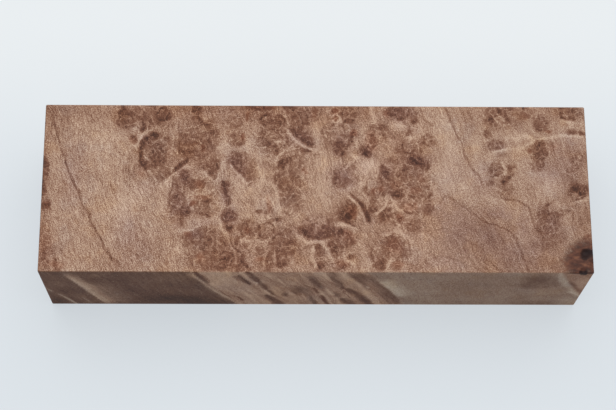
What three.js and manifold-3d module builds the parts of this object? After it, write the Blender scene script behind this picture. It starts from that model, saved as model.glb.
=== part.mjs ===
// A stabilized burl blank: one block of burl wood, soaked with resin and cured, then sawn
// square and sanded, ready to be cut into scales or turned. It is one solid. The sharp edges
// are broken by sanding, and a bark pocket in one top corner leaves three small open pits.
//
// Millimetres, +Z up. The origin is the middle of the bottom face, +X runs along the length
// and -Y is the front. Run with the npm packages three and manifold-3d.
import * as THREE from "three";
import { RoundedBoxGeometry } from "three/addons/geometries/RoundedBoxGeometry.js";
import { mergeVertices } from "three/addons/utils/BufferGeometryUtils.js";
import Module from "manifold-3d";

// Driving dimensions of the sawn block.
const LENGTH = 130;
const WIDTH = 42;
const HEIGHT = 28;

// The sanded break on every edge, and how many flats make up its round.
const EDGE_ROUND = 0.35;
const EDGE_FLATS = 3;

// Pits of the bark pocket in the front right corner of the top face. Each is half of a
// squashed ball: its middle lies on the top face, in from the right end and in from the
// front face, with its size along X and Y and its depth.
const BARK_PITS = [
  { fromEnd: 1.9, fromFront: 4.9, sizeX: 2.6, sizeY: 2.0, depth: 0.55 },
  { fromEnd: 2.6, fromFront: 0.5, sizeX: 1.6, sizeY: 1.5, depth: 0.6 },
  { fromEnd: 0.25, fromFront: 1.9, sizeX: 1.0, sizeY: 2.6, depth: 0.5 },
];
const PIT_SECTORS = 20;
const PIT_BANDS = 12;

// Mean colour of the sanded top face, and the soft sheen of resin-filled wood.
const BURL_COLOUR = new THREE.Color().setRGB(0.6, 0.47, 0.4, THREE.SRGBColorSpace);
const BURL_ROUGHNESS = 0.5;

const wasm = await Module();
wasm.setup();

// The closed solid of a three.js geometry, with its shared vertices merged.
function solidFrom(geometry) {
  const bare = geometry.clone();
  bare.deleteAttribute("normal");
  bare.deleteAttribute("uv");
  const merged = mergeVertices(bare, 1e-4);
  const mesh = new wasm.Mesh({
    numProp: 3,
    vertProperties: new Float32Array(merged.attributes.position.array),
    triVerts: new Uint32Array(merged.index.array),
  });
  return new wasm.Manifold(mesh);
}

// A flat-shaded three.js geometry of a closed solid.
function geometryFrom(solid) {
  const mesh = solid.getMesh();
  const geometry = new THREE.BufferGeometry();
  geometry.setAttribute("position", new THREE.BufferAttribute(mesh.vertProperties, 3));
  geometry.setIndex(new THREE.BufferAttribute(mesh.triVerts, 1));
  const faceted = geometry.toNonIndexed();
  faceted.computeVertexNormals();
  return faceted;
}

// The squared block with every edge and corner rounded, standing on z = 0.
function sandedBlock() {
  const block = new RoundedBoxGeometry(LENGTH, WIDTH, HEIGHT, EDGE_FLATS, EDGE_ROUND);
  block.translate(0, 0, HEIGHT / 2);
  return solidFrom(block);
}

// A squashed ball, centred on the top face, that is cut out to leave one pit.
function barkPit({ fromEnd, fromFront, sizeX, sizeY, depth }) {
  const ball = new THREE.SphereGeometry(1, PIT_SECTORS, PIT_BANDS);
  ball.rotateX(Math.PI / 2);
  ball.scale(sizeX / 2, sizeY / 2, depth);
  ball.translate(LENGTH / 2 - fromEnd, -WIDTH / 2 + fromFront, HEIGHT);
  return solidFrom(ball);
}

const pitted = BARK_PITS.map(barkPit).reduce(
  (block, pit) => block.subtract(pit),
  sandedBlock(),
);

const burlBlank = new THREE.Mesh(
  geometryFrom(pitted),
  new THREE.MeshStandardMaterial({
    color: BURL_COLOUR,
    roughness: BURL_ROUGHNESS,
    metalness: 0,
  }),
);
burlBlank.name = "burl_blank";

const blank = new THREE.Group();
blank.add(burlBlank);

export default blank;
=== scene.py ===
"""A stabilized burl blank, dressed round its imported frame.

The block is rebuilt as one fine closed mesh that stands for the CAD solid. Its figure is worked out in the
wood itself: burl eyes are columns that lean through the block along the grain, so the top, the bottom, the
back and the ends show sections of them. The front face, which cuts them lengthwise, has marks of its own.
The figure is kept on the mesh as attributes, and the finish adds fibres, lace and pores.
Figure lengths are in millimetres, and mesh lengths in metres.
"""

from __future__ import annotations

import itertools
import logging
import math
from collections.abc import Mapping, Sequence
from dataclasses import dataclass, field
from enum import Enum
from typing import ClassVar

import bpy
import numpy as np
from mathutils import Matrix, Vector

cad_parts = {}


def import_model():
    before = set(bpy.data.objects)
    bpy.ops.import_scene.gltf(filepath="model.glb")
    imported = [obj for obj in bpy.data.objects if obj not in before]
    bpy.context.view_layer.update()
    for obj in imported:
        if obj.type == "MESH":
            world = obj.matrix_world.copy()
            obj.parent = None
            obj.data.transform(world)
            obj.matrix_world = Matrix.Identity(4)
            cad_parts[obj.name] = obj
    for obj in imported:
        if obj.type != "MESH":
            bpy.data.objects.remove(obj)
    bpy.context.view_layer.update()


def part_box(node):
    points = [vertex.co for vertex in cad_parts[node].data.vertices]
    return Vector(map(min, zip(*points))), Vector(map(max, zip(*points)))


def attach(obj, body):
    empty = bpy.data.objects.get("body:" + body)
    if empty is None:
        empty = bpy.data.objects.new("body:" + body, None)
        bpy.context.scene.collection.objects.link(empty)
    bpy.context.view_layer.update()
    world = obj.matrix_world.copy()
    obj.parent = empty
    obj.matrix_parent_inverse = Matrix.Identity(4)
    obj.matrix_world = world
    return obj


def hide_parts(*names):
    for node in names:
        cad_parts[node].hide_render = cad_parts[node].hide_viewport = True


LOG = logging.getLogger("burl_blank")
NODE_NAME = "burl_blank"
PIECE_NAME = NODE_NAME + "_dressed"
BODY_NAME = "root"
MM = 0.001
IMAGE_WIDTH = 616

Array = np.ndarray
Colour = tuple[float, float, float]
Scale = tuple[float, float, float]
Span = tuple[float, float]
Path = tuple[tuple[float, float], ...]


class EyeKind(Enum):
    """How the brown of a burl eye is spread over its section."""

    SOLID = "solid"
    RED = "red"
    RING = "ring"
    SHADED = "shaded"
    CLOUD = "cloud"
    RED_CLOUD = "red cloud"
    PALE = "pale"


@dataclass(frozen=True)
class Eye:
    """One burl eye, by its section on a face.

    x and y are its middle, half_long and half_wide its half sizes, tone how deep its colour goes, and turn
    the angle of its long way from the first axis, in degrees.
    """

    x: float
    y: float
    half_long: float
    half_wide: float
    tone: float
    turn: float = 0.0
    kind: EyeKind = EyeKind.SOLID

    @property
    def reach(self) -> float:
        """How far from its middle the eye may still tint the wood."""
        return 2.6 * max(self.half_long, self.half_wide) + 2.2


@dataclass(frozen=True)
class Stroke:
    """A band or line of the figure: its path, its half width at the widest, and its strength.

    With a fade, a band has a sharp border along its path and thins out over that distance, to the left of
    the way the path runs, or to the right if the fade is below zero.
    """

    path: Path
    half_width: float
    tone: float
    fade: float = 0.0


# Burl eyes on the top face: x to the right and y to the back of the face's middle, half
# sizes along and across, tone, and for some a turn in degrees.
TOP_EYES: dict[EyeKind, tuple[tuple[float, ...], ...]] = {
    EyeKind.SOLID: (
        # Left cluster.
        (-43.9, 15.6, 0.55, 0.40, 0.85, 50), (-46.8, 19.3, 0.9, 0.40, 0.95, 15),
        (-45.8, 19.8, 1.3, 0.50, 0.80, 10),
        (-46.3, 20.6, 0.6, 0.5, 0.9), (-41.9, 17.4, 0.5, 1.2, 0.9), (-41.5, 15.3, 0.75, 1.0, 1.0),
        (-37.3, 18.1, 0.6, 0.7, 0.75), (-37.3, 16.5, 0.9, 0.35, 0.75), (-43.3, 12.5, 0.75, 0.55, 0.75),
        (-38.9, 12.1, 1.2, 0.7, 0.80), (-37.3, 10.4, 1.1, 0.6, 0.85, -15), (-35.4, 2.8, 0.5, 0.5, 0.80),
        (-38.8, 3.6, 0.6, 0.5, 0.55), (-32.6, 11.5, 0.6, 0.6, 0.65),
        # Middle left, towards the back.
        (-28.9, 20.3, 1.4, 0.8, 0.90), (-29.6, 19.5, 0.7, 0.5, 0.90), (-24.2, 13.6, 0.75, 1.7, 0.75),
        (-26.4, 11.9, 1.0, 1.0, 0.65), (-29.6, 9.1, 0.9, 0.8, 0.75), (-31.6, 0.8, 1.1, 1.3, 0.65),
        (-26.9, 5.3, 0.7, 0.8, 0.75), (-23.7, 5.2, 0.45, 1.0, 0.80), (-25.3, 3.7, 0.7, 0.5, 0.85),
        (-24.4, 3.6, 0.8, 0.4, 0.70), (-19.1, 15.5, 0.6, 0.5, 0.65), (-19.9, 13.4, 1.0, 0.8, 0.60),
        (-18.1, 11.0, 0.9, 0.5, 0.80), (-16.4, 20.3, 0.8, 0.5, 0.85, -40), (-19.6, 17.8, 0.6, 0.5, 0.65),
        (-21.1, -6.4, 1.4, 1.0, 0.92), (-20.5, -10.0, 1.0, 0.95, 0.85),
        # Middle left, towards the front.
        (-30.2, -6.4, 0.8, 0.7, 0.85), (-32.0, -8.0, 0.75, 2.0, 0.75), (-33.1, -2.5, 1.4, 1.1, 0.60),
        (-25.7, -3.4, 0.8, 0.65, 0.80), (-27.6, -6.6, 0.8, 0.45, 0.70), (-26.0, -6.9, 0.9, 0.5, 0.80),
        (-24.9, -13.4, 0.8, 0.7, 0.78), (-24.0, -11.2, 0.8, 0.7, 0.60), (-24.9, -17.4, 1.1, 0.6, 0.65),
        (-21.5, -17.8, 0.8, 0.8, 0.75), (-22.3, -16.6, 0.6, 0.6, 0.65), (-21.8, -20.0, 1.1, 0.6, 0.85),
        (-18.6, -13.9, 0.45, 0.9, 0.82), (-16.9, -14.6, 0.9, 0.7, 0.60), (-15.9, -15.8, 0.6, 0.5, 0.65),
        (-17.9, -17.5, 0.9, 0.7, 0.80), (-17.7, -19.2, 1.6, 1.0, 0.78), (-15.7, -19.8, 1.0, 0.6, 0.75),
        # Middle, towards the back.
        (-6.8, 20.4, 1.9, 0.6, 0.85), (-12.7, 16.9, 0.5, 1.0, 0.70), (-10.7, 16.8, 0.3, 0.45, 0.95),
        (-8.8, 16.6, 0.3, 0.6, 1.0, 15), (-7.0, 19.2, 0.6, 0.6, 0.60), (-10.7, 14.7, 0.9, 0.55, 0.70),
        (-12.9, 13.0, 0.8, 0.55, 0.65), (-8.5, 12.8, 0.6, 0.3, 0.75), (-9.9, 10.9, 0.4, 0.4, 0.85),
        (-11.3, 10.9, 1.0, 0.9, 0.68), (-10.2, 9.2, 1.6, 0.9, 0.62), (-5.3, 18.1, 0.7, 1.4, 0.65),
        (-2.3, 19.5, 1.2, 0.6, 0.72), (-8.0, 6.3, 1.3, 1.6, 0.82), (-6.3, 7.4, 1.4, 0.8, 0.60),
        (-9.7, 2.5, 0.85, 1.4, 0.75), (-4.8, 2.5, 0.8, 0.7, 0.75), (-7.9, 1.2, 0.7, 0.6, 0.70),
        (-8.5, 0.2, 0.6, 0.6, 0.65), (-6.6, 0.1, 0.8, 0.6, 0.70),
        # Middle, towards the front.
        (-11.1, -5.4, 0.6, 0.7, 0.65), (-9.1, -7.8, 1.0, 0.65, 0.82), (-7.8, -2.1, 0.6, 0.6, 0.72),
        (-6.2, -2.4, 0.9, 0.55, 0.72), (-7.4, -3.2, 0.6, 0.5, 0.72), (-4.3, -4.7, 0.6, 0.6, 0.62),
        (-6.7, -4.9, 0.6, 0.6, 0.62), (-13.6, -10.0, 0.35, 0.6, 0.95), (-13.6, -12.0, 0.75, 0.85, 0.92),
        (-8.9, -11.5, 0.4, 0.8, 0.75), (-6.5, -13.6, 1.0, 0.85, 0.78), (-8.9, -15.6, 0.9, 0.45, 0.88),
        (-7.9, -18.9, 1.7, 0.95, 0.85), (-5.5, -16.4, 0.8, 0.8, 0.70), (-9.1, -17.4, 0.45, 1.5, 0.70),
        (-11.7, -18.1, 0.35, 1.1, 0.75), (-11.6, -15.8, 0.6, 0.5, 0.65), (-13.5, -15.4, 0.6, 0.5, 0.55),
        (0.2, -14.6, 0.9, 0.75, 0.75), (0.45, -19.6, 0.8, 0.75, 0.80),
        # Middle right, towards the back.
        (4.4, 16.1, 0.7, 0.45, 0.75), (6.4, 19.1, 0.4, 0.8, 0.88), (7.1, 17.4, 0.8, 0.65, 0.92),
        (8.5, 17.3, 0.7, 0.4, 0.78), (12.0, 8.8, 1.1, 0.95, 0.90), (13.5, 12.2, 0.7, 0.7, 0.78),
        (13.5, 13.6, 0.9, 0.65, 0.65), (12.5, 10.7, 0.25, 0.5, 0.88), (15.6, 15.6, 1.2, 0.75, 0.80),
        (16.6, 13.1, 0.65, 1.0, 0.72), (15.8, 13.7, 0.5, 0.6, 0.50), (4.6, 2.8, 0.75, 0.6, 0.88),
        (5.7, 5.2, 0.3, 0.8, 0.50), (15.3, 1.9, 1.0, 0.7, 0.65), (13.6, 2.5, 0.7, 0.6, 0.50),
        (11.5, 0.0, 0.5, 0.8, 0.72), (18.2, 18.8, 0.8, 0.6, 0.80), (20.8, 18.0, 1.0, 0.4, 0.88, 15),
        (21.9, 19.0, 0.7, 0.6, 0.82), (19.6, 19.8, 1.2, 0.5, 0.78), (23.6, 16.8, 0.65, 0.8, 0.85),
        (26.0, 12.4, 0.5, 0.6, 0.82), (25.3, 11.0, 0.9, 0.75, 0.75), (25.2, 9.3, 0.5, 0.7, 0.72),
        (19.7, 9.5, 1.2, 0.9, 0.62), (20.8, 7.5, 0.8, 0.6, 0.45), (23.1, 7.6, 1.0, 0.7, 0.85),
        (24.2, 6.3, 1.7, 0.65, 0.92), (25.4, 6.5, 1.0, 0.5, 0.76, -35), (20.6, 4.4, 0.8, 0.4, 0.88),
        (19.6, 3.1, 0.6, 0.6, 0.72), (22.7, 2.9, 0.35, 1.0, 0.70), (26.5, 0.3, 0.8, 0.8, 0.60),
        (21.4, -0.4, 0.7, 0.6, 0.72),
        # Middle right, towards the front.
        (11.5, -0.5, 0.4, 0.9, 0.75), (12.0, -1.9, 0.6, 0.6, 0.70), (13.4, -2.9, 0.8, 1.3, 0.65),
        (15.8, -1.9, 0.6, 0.6, 0.68), (11.9, -7.2, 0.8, 1.3, 0.85, 25), (6.9, -7.1, 1.8, 1.6, 0.90),
        (7.6, -4.1, 0.9, 1.0, 0.70), (5.4, -11.0, 1.4, 0.8, 0.85), (5.2, -12.5, 0.4, 0.9, 0.80),
        (3.1, -13.9, 0.7, 0.7, 0.75), (4.4, -15.1, 1.3, 1.0, 0.78, -35), (8.6, -13.7, 1.0, 0.8, 0.78),
        (8.0, -17.3, 0.8, 0.7, 0.88), (12.9, -17.4, 0.5, 0.5, 0.72), (14.7, -19.3, 1.4, 1.2, 0.78),
        (6.3, -19.5, 0.6, 0.6, 0.72), (18.9, -1.5, 1.6, 1.0, 0.90), (20.4, -3.5, 0.9, 0.55, 0.65),
        (22.8, -2.0, 1.0, 0.8, 0.80), (24.3, -2.2, 0.7, 0.6, 0.76), (17.5, -6.9, 0.5, 0.6, 0.65),
        (18.0, -8.7, 0.8, 0.6, 0.68), (19.6, -8.6, 0.7, 0.5, 0.72), (27.1, -2.0, 0.6, 0.6, 0.92),
        (26.6, -5.2, 0.8, 0.8, 0.80), (22.6, -8.5, 0.7, 0.7, 0.70), (18.6, -17.8, 1.1, 0.7, 0.65),
        (15.3, -18.6, 0.7, 1.2, 0.80),
        # Right.
        (42.0, 17.5, 1.1, 0.75, 0.95), (42.5, 19.2, 0.6, 0.45, 0.75), (43.7, 18.2, 0.45, 0.95, 0.80, 30),
        (44.5, 19.5, 0.5, 1.0, 0.85, 40), (42.9, 20.8, 1.1, 0.35, 0.85), (46.1, 17.6, 0.65, 1.2, 0.75, 15),
        (46.8, 20.4, 1.0, 0.65, 0.92, -30), (47.6, 18.9, 0.8, 0.25, 0.72), (40.7, 13.7, 0.65, 1.1, 0.82),
        (42.0, 4.9, 0.5, 1.2, 0.66), (43.4, 6.1, 0.8, 0.5, 0.64), (43.0, 3.2, 0.8, 0.6, 0.70),
        (46.6, 5.6, 0.9, 0.4, 0.66, -15), (46.1, 4.8, 0.6, 0.8, 0.72), (44.8, 1.6, 0.9, 0.8, 0.76),
        (50.3, 20.3, 0.45, 0.45, 1.25), (53.1, 15.6, 0.8, 1.0, 0.74), (61.4, 19.9, 1.0, 0.5, 0.70),
        (59.6, 20.7, 0.9, 0.35, 0.80), (61.4, 14.4, 1.1, 0.85, 0.76), (64.2, 14.2, 0.9, 0.55, 0.80),
        (61.9, 0.3, 1.4, 1.2, 0.85), (64.1, -0.2, 0.9, 1.3, 0.75), (55.2, -4.0, 0.8, 0.3, 0.78, 40),
        (54.6, -5.8, 0.9, 0.7, 0.70), (59.5, -5.7, 0.6, 0.55, 0.60),
        # Left end.
        (-64.6, 5.6, 0.6, 1.8, 0.80), (-64.7, 0.6, 0.5, 1.8, 0.80), (-63.9, -4.4, 0.6, 0.5, 0.75),
        (-60.9, -19.2, 0.5, 1.3, 0.60), (-60.4, -20.5, 0.8, 0.4, 0.65),
    ),
    EyeKind.RED: (
        (-43.9, 11.8, 0.9, 0.6, 0.40), (-27.2, 9.9, 0.4, 1.0, 0.80), (-27.7, 0.7, 1.1, 0.9, 0.60),
        (-17.6, 12.9, 0.65, 1.05, 0.70), (-16.5, 18.1, 0.45, 1.2, 0.80, -8), (-29.3, -4.0, 0.85, 0.5, 0.85),
        (-27.1, -2.4, 2.1, 0.5, 0.50, 5), (-30.3, -11.5, 1.0, 0.6, 0.60),
        (-27.2, -17.3, 1.0, 0.9, 0.55), (-16.2, -10.6, 0.7, 0.6, 0.70), (-13.3, 20.5, 3.6, 0.55, 0.75),
        (-3.1, 4.4, 0.5, 0.5, 0.60), (-2.3, 3.7, 0.5, 0.4, 0.50), (-11.3, -4.1, 0.5, 1.9, 0.45),
        (-13.6, -17.6, 1.0, 0.5, 0.65), (-0.3, 19.2, 0.8, 1.6, 0.45), (4.6, 19.5, 1.0, 0.9, 0.78),
        (4.85, 17.5, 0.5, 0.75, 0.75), (8.9, 14.1, 0.8, 0.9, 0.85), (13.9, 10.2, 0.9, 0.7, 0.50),
        (13.4, 12.0, 1.6, 2.6, 0.40), (16.7, 19.2, 0.9, 1.1, 0.45), (18.9, 0.8, 1.6, 1.1, 0.40),
        (13.5, -0.8, 0.6, 0.8, 0.75), (15.4, -0.3, 0.8, 1.1, 0.65), (8.5, -6.1, 1.0, 1.4, 0.75),
        (6.9, -11.2, 0.8, 0.7, 0.60), (7.5, -12.5, 1.8, 1.6, 0.40), (5.8, -18.8, 1.6, 1.1, 0.42),
        (23.5, -0.6, 1.2, 0.7, 0.50), (19.6, -7.3, 0.6, 1.0, 0.78), (22.1, -4.9, 1.3, 1.2, 0.50),
        (23.5, -4.7, 0.7, 1.0, 0.55), (19.1, -19.2, 1.4, 0.9, 0.50), (56.0, 14.6, 0.9, 0.3, 0.78, -15),
        (51.1, 9.3, 0.35, 0.5, 0.60), (18.3, -14.6, 1.9, 1.8, 0.52), (57.5, 10.7, 0.5, 0.4, 0.45),
        (64.1, -12.0, 1.0, 0.5, 0.50),
        (-61.0, -19.0, 0.9, 2.0, 0.40, 75), (-63.8, -4.4, 0.9, 0.8, 0.50),
    ),
    EyeKind.RING: (
        (-36.7, 18.6, 1.6, 1.8, 0.90), (-26.9, -5.0, 1.9, 1.9, 0.45), (-26.7, -14.9, 1.2, 1.05, 0.80),
        (-21.1, -17.5, 1.6, 1.8, 0.60), (-12.0, 17.3, 1.6, 1.7, 0.76), (-8.9, 16.7, 1.3, 1.9, 0.70),
        (-3.8, 16.1, 0.8, 0.75, 0.60),
        (6.8, 13.0, 0.7, 0.7, 0.50), (27.2, 12.0, 1.3, 1.5, 0.45), (42.8, 4.7, 1.2, 1.7, 0.46),
        (54.4, 16.3, 1.7, 1.6, 0.66),
    ),
    EyeKind.SHADED: (
        (7.3, 2.4, 3.1, 2.2, 0.40, 170),
    ),
    EyeKind.CLOUD: (
        (-37.5, 15.8, 0.8, 0.5, 0.40), (-37.2, 2.2, 1.5, 0.6, 0.35), (-33.8, 8.8, 0.6, 0.9, 0.40),
        (-19.6, 15.4, 1.2, 1.4, 0.35), (-20.5, 19.3, 0.8, 0.6, 0.40), (-23.0, -13.6, 1.5, 2.0, 0.30),
        (-25.5, -15.5, 4.0, 4.6, 0.28), (-4.0, 5.0, 2.0, 1.6, 0.30), (-5.8, -3.5, 2.6, 3.0, 0.30),
        (-1.8, -8.6, 3.0, 1.5, 0.28), (5.6, 8.6, 1.1, 1.0, 0.70), (2.9, 10.8, 1.3, 1.6, 0.35),
        (2.0, 13.4, 0.9, 1.2, 0.35), (21.0, 3.0, 5.0, 5.0, 0.25), (21.0, 9.0, 4.5, 2.6, 0.20),
        (2.5, -8.0, 2.6, 1.8, 0.40), (4.5, -6.5, 2.0, 1.5, 0.35), (27.2, -6.6, 1.2, 0.8, 0.40),
        (23.1, -9.5, 2.0, 2.2, 0.32), (36.1, 17.6, 2.0, 3.6, 0.34), (38.0, 15.4, 1.4, 3.0, 0.30),
        (43.2, 15.4, 1.4, 0.8, 0.45),
        (44.6, 8.4, 1.6, 0.55, 0.40), (44.5, 3.5, 3.0, 3.2, 0.28), (44.6, 0.2, 2.5, 1.2, 0.40),
        (48.9, 17.5, 1.0, 1.0, 0.40), (48.5, 19.5, 3.0, 1.5, 0.30), (61.5, 4.0, 1.6, 4.0, 0.25),
        (60.6, -1.2, 0.7, 0.7, 0.50), (44.5, -1.0, 3.0, 1.4, 0.32), (-60.5, 16.0, 1.8, 3.5, 0.20),
        (-35.0, 10.5, 0.9, 1.4, 0.52), (-18.6, 19.8, 1.5, 1.0, 0.58), (-42.7, 20.0, 1.8, 1.0, 0.62),
        (-22.2, 16.0, 1.1, 1.3, 0.48), (18.2, -19.7, 1.8, 1.0, 0.66), (-11.8, -19.9, 1.6, 1.0, 0.62),
        (57.5, -12.4, 2.4, 2.2, 0.42), (55.0, -14.2, 2.0, 1.4, 0.36), (62.8, -9.0, 2.6, 3.2, 0.30),
        (19.1, 9.6, 1.4, 1.0, 0.62), (22.3, -0.9, 1.0, 0.9, 0.60), (10.0, -0.9, 1.3, 1.1, 0.42),
        (6.4, 16.0, 0.9, 0.9, 0.52), (12.0, 8.9, 1.3, 1.1, 0.85), (41.9, 1.4, 1.2, 0.9, 0.60),
        (-1.8, 9.8, 2.4, 0.8, 0.60, -45),
    ),
    EyeKind.RED_CLOUD: (
        (-41.6, 3.4, 0.9, 0.8, 0.40), (-35.1, 8.8, 0.5, 2.0, 0.35), (25.0, 2.7, 1.0, 1.9, 0.35),
        (50.4, 18.6, 0.9, 0.9, 0.50), (56.5, 10.2, 1.6, 1.1, 0.30), (-63.8, -15.0, 2.0, 5.0, 0.42),
        (-20.0, 21.0, 36.0, 4.6, 0.24), (8.0, 21.0, 14.0, 4.0, 0.16), (49.0, 21.0, 14.0, 4.4, 0.18),
        (20.0, 8.0, 6.0, 12.0, 0.12), (20.0, -8.0, 6.0, 10.0, 0.14), (11.0, 20.0, 5.0, 3.5, 0.18),
        (-19.5, -17.0, 5.0, 5.0, 0.20), (-20.0, 19.0, 5.0, 4.0, 0.12), (-29.0, 9.0, 5.0, 4.5, 0.14),
        (-9.0, -17.0, 5.0, 5.0, 0.10),
    ),
    EyeKind.PALE: (
        (-28.2, 10.0, 0.7, 0.7, 0.50), (-15.3, -0.2, 0.8, 0.8, 1.00), (-26.0, -8.2, 4.0, 0.9, 0.35),
        (-32.6, -15.6, 1.3, 1.7, 1.00), (-5.0, 15.5, 0.5, 0.4, 0.70), (-22.0, 10.2, 1.5, 2.4, 0.60),
        (-17.6, 9.9, 1.6, 0.8, 0.60), (-19.1, 1.9, 1.6, 1.0, 0.50), (-16.0, 10.8, 0.8, 1.2, 0.40),
        (-13.6, 7.8, 1.6, 1.1, 0.60), (-13.5, 2.0, 1.2, 4.5, 0.50), (-6.2, 4.7, 0.7, 0.5, 0.55),
        (-7.6, -17.2, 1.0, 0.6, 0.40), (0.3, -18.0, 0.5, 0.5, 0.60), (11.3, 14.3, 1.0, 2.2, 0.50, 20),
        (9.2, 7.5, 0.6, 0.6, 0.80), (12.0, 5.6, 4.0, 2.4, 0.42), (19.9, 15.9, 0.9, 0.8, 0.90),
        (25.2, 15.4, 0.8, 1.3, 0.80), (16.9, 5.9, 0.7, 0.5, 0.50), (22.6, 12.4, 1.2, 0.6, 0.50),
        (8.9, -3.1, 0.5, 0.35, 0.90), (9.8, -7.4, 0.7, 1.4, 0.60), (4.9, -9.4, 0.8, 0.7, 0.60),
        (10.9, -12.6, 2.8, 3.0, 0.32), (18.6, -3.6, 0.6, 0.8, 0.80), (45.8, 12.4, 0.6, 0.9, 0.60),
        (50.3, 13.0, 2.2, 0.9, 0.70), (48.3, 12.3, 1.5, 0.8, 0.50), (61.6, 16.5, 0.6, 1.0, 0.60),
        (61.7, -1.5, 0.6, 0.75, 0.80), (55.6, -4.9, 0.6, 0.4, 0.50), (-43.4, 10.2, 1.4, 0.7, 0.85),
        (-35.6, 1.2, 1.6, 0.8, 0.50, 45), (-26.7, 17.3, 1.1, 0.9, 0.55), (-19.5, 18.8, 0.5, 0.5, 0.50),
        (-39.8, 17.8, 0.4, 0.4, 0.60), (5.6, 6.6, 0.6, 1.4, 0.30), (1.0, 3.0, 2.2, 6.0, 0.22),
        (32.0, 7.0, 2.6, 9.0, 0.30), (56.2, 0.5, 4.0, 3.0, 0.22), (-51.0, 8.0, 3.6, 6.0, 0.25),
        (-42.0, -1.5, 3.0, 2.6, 0.22), (-34.5, -14.0, 1.6, 4.0, 0.28), (39.0, 11.0, 2.4, 2.0, 0.25),
        (57.8, -4.2, 1.6, 1.0, 0.40), (-45.0, 9.6, 1.2, 1.0, 0.50), (-45.0, 3.2, 1.4, 1.6, 0.40),
        (-34.5, -14.0, 1.2, 2.2, 0.50), (-6.8, 3.2, 0.8, 0.8, 0.50), (6.4, -3.6, 0.7, 0.8, 0.50),
        (8.7, 10.5, 0.7, 0.8, 0.50), (41.0, 7.8, 1.2, 1.2, 0.50), (13.7, -10.4, 1.0, 1.4, 0.40),
    ),
}

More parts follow.
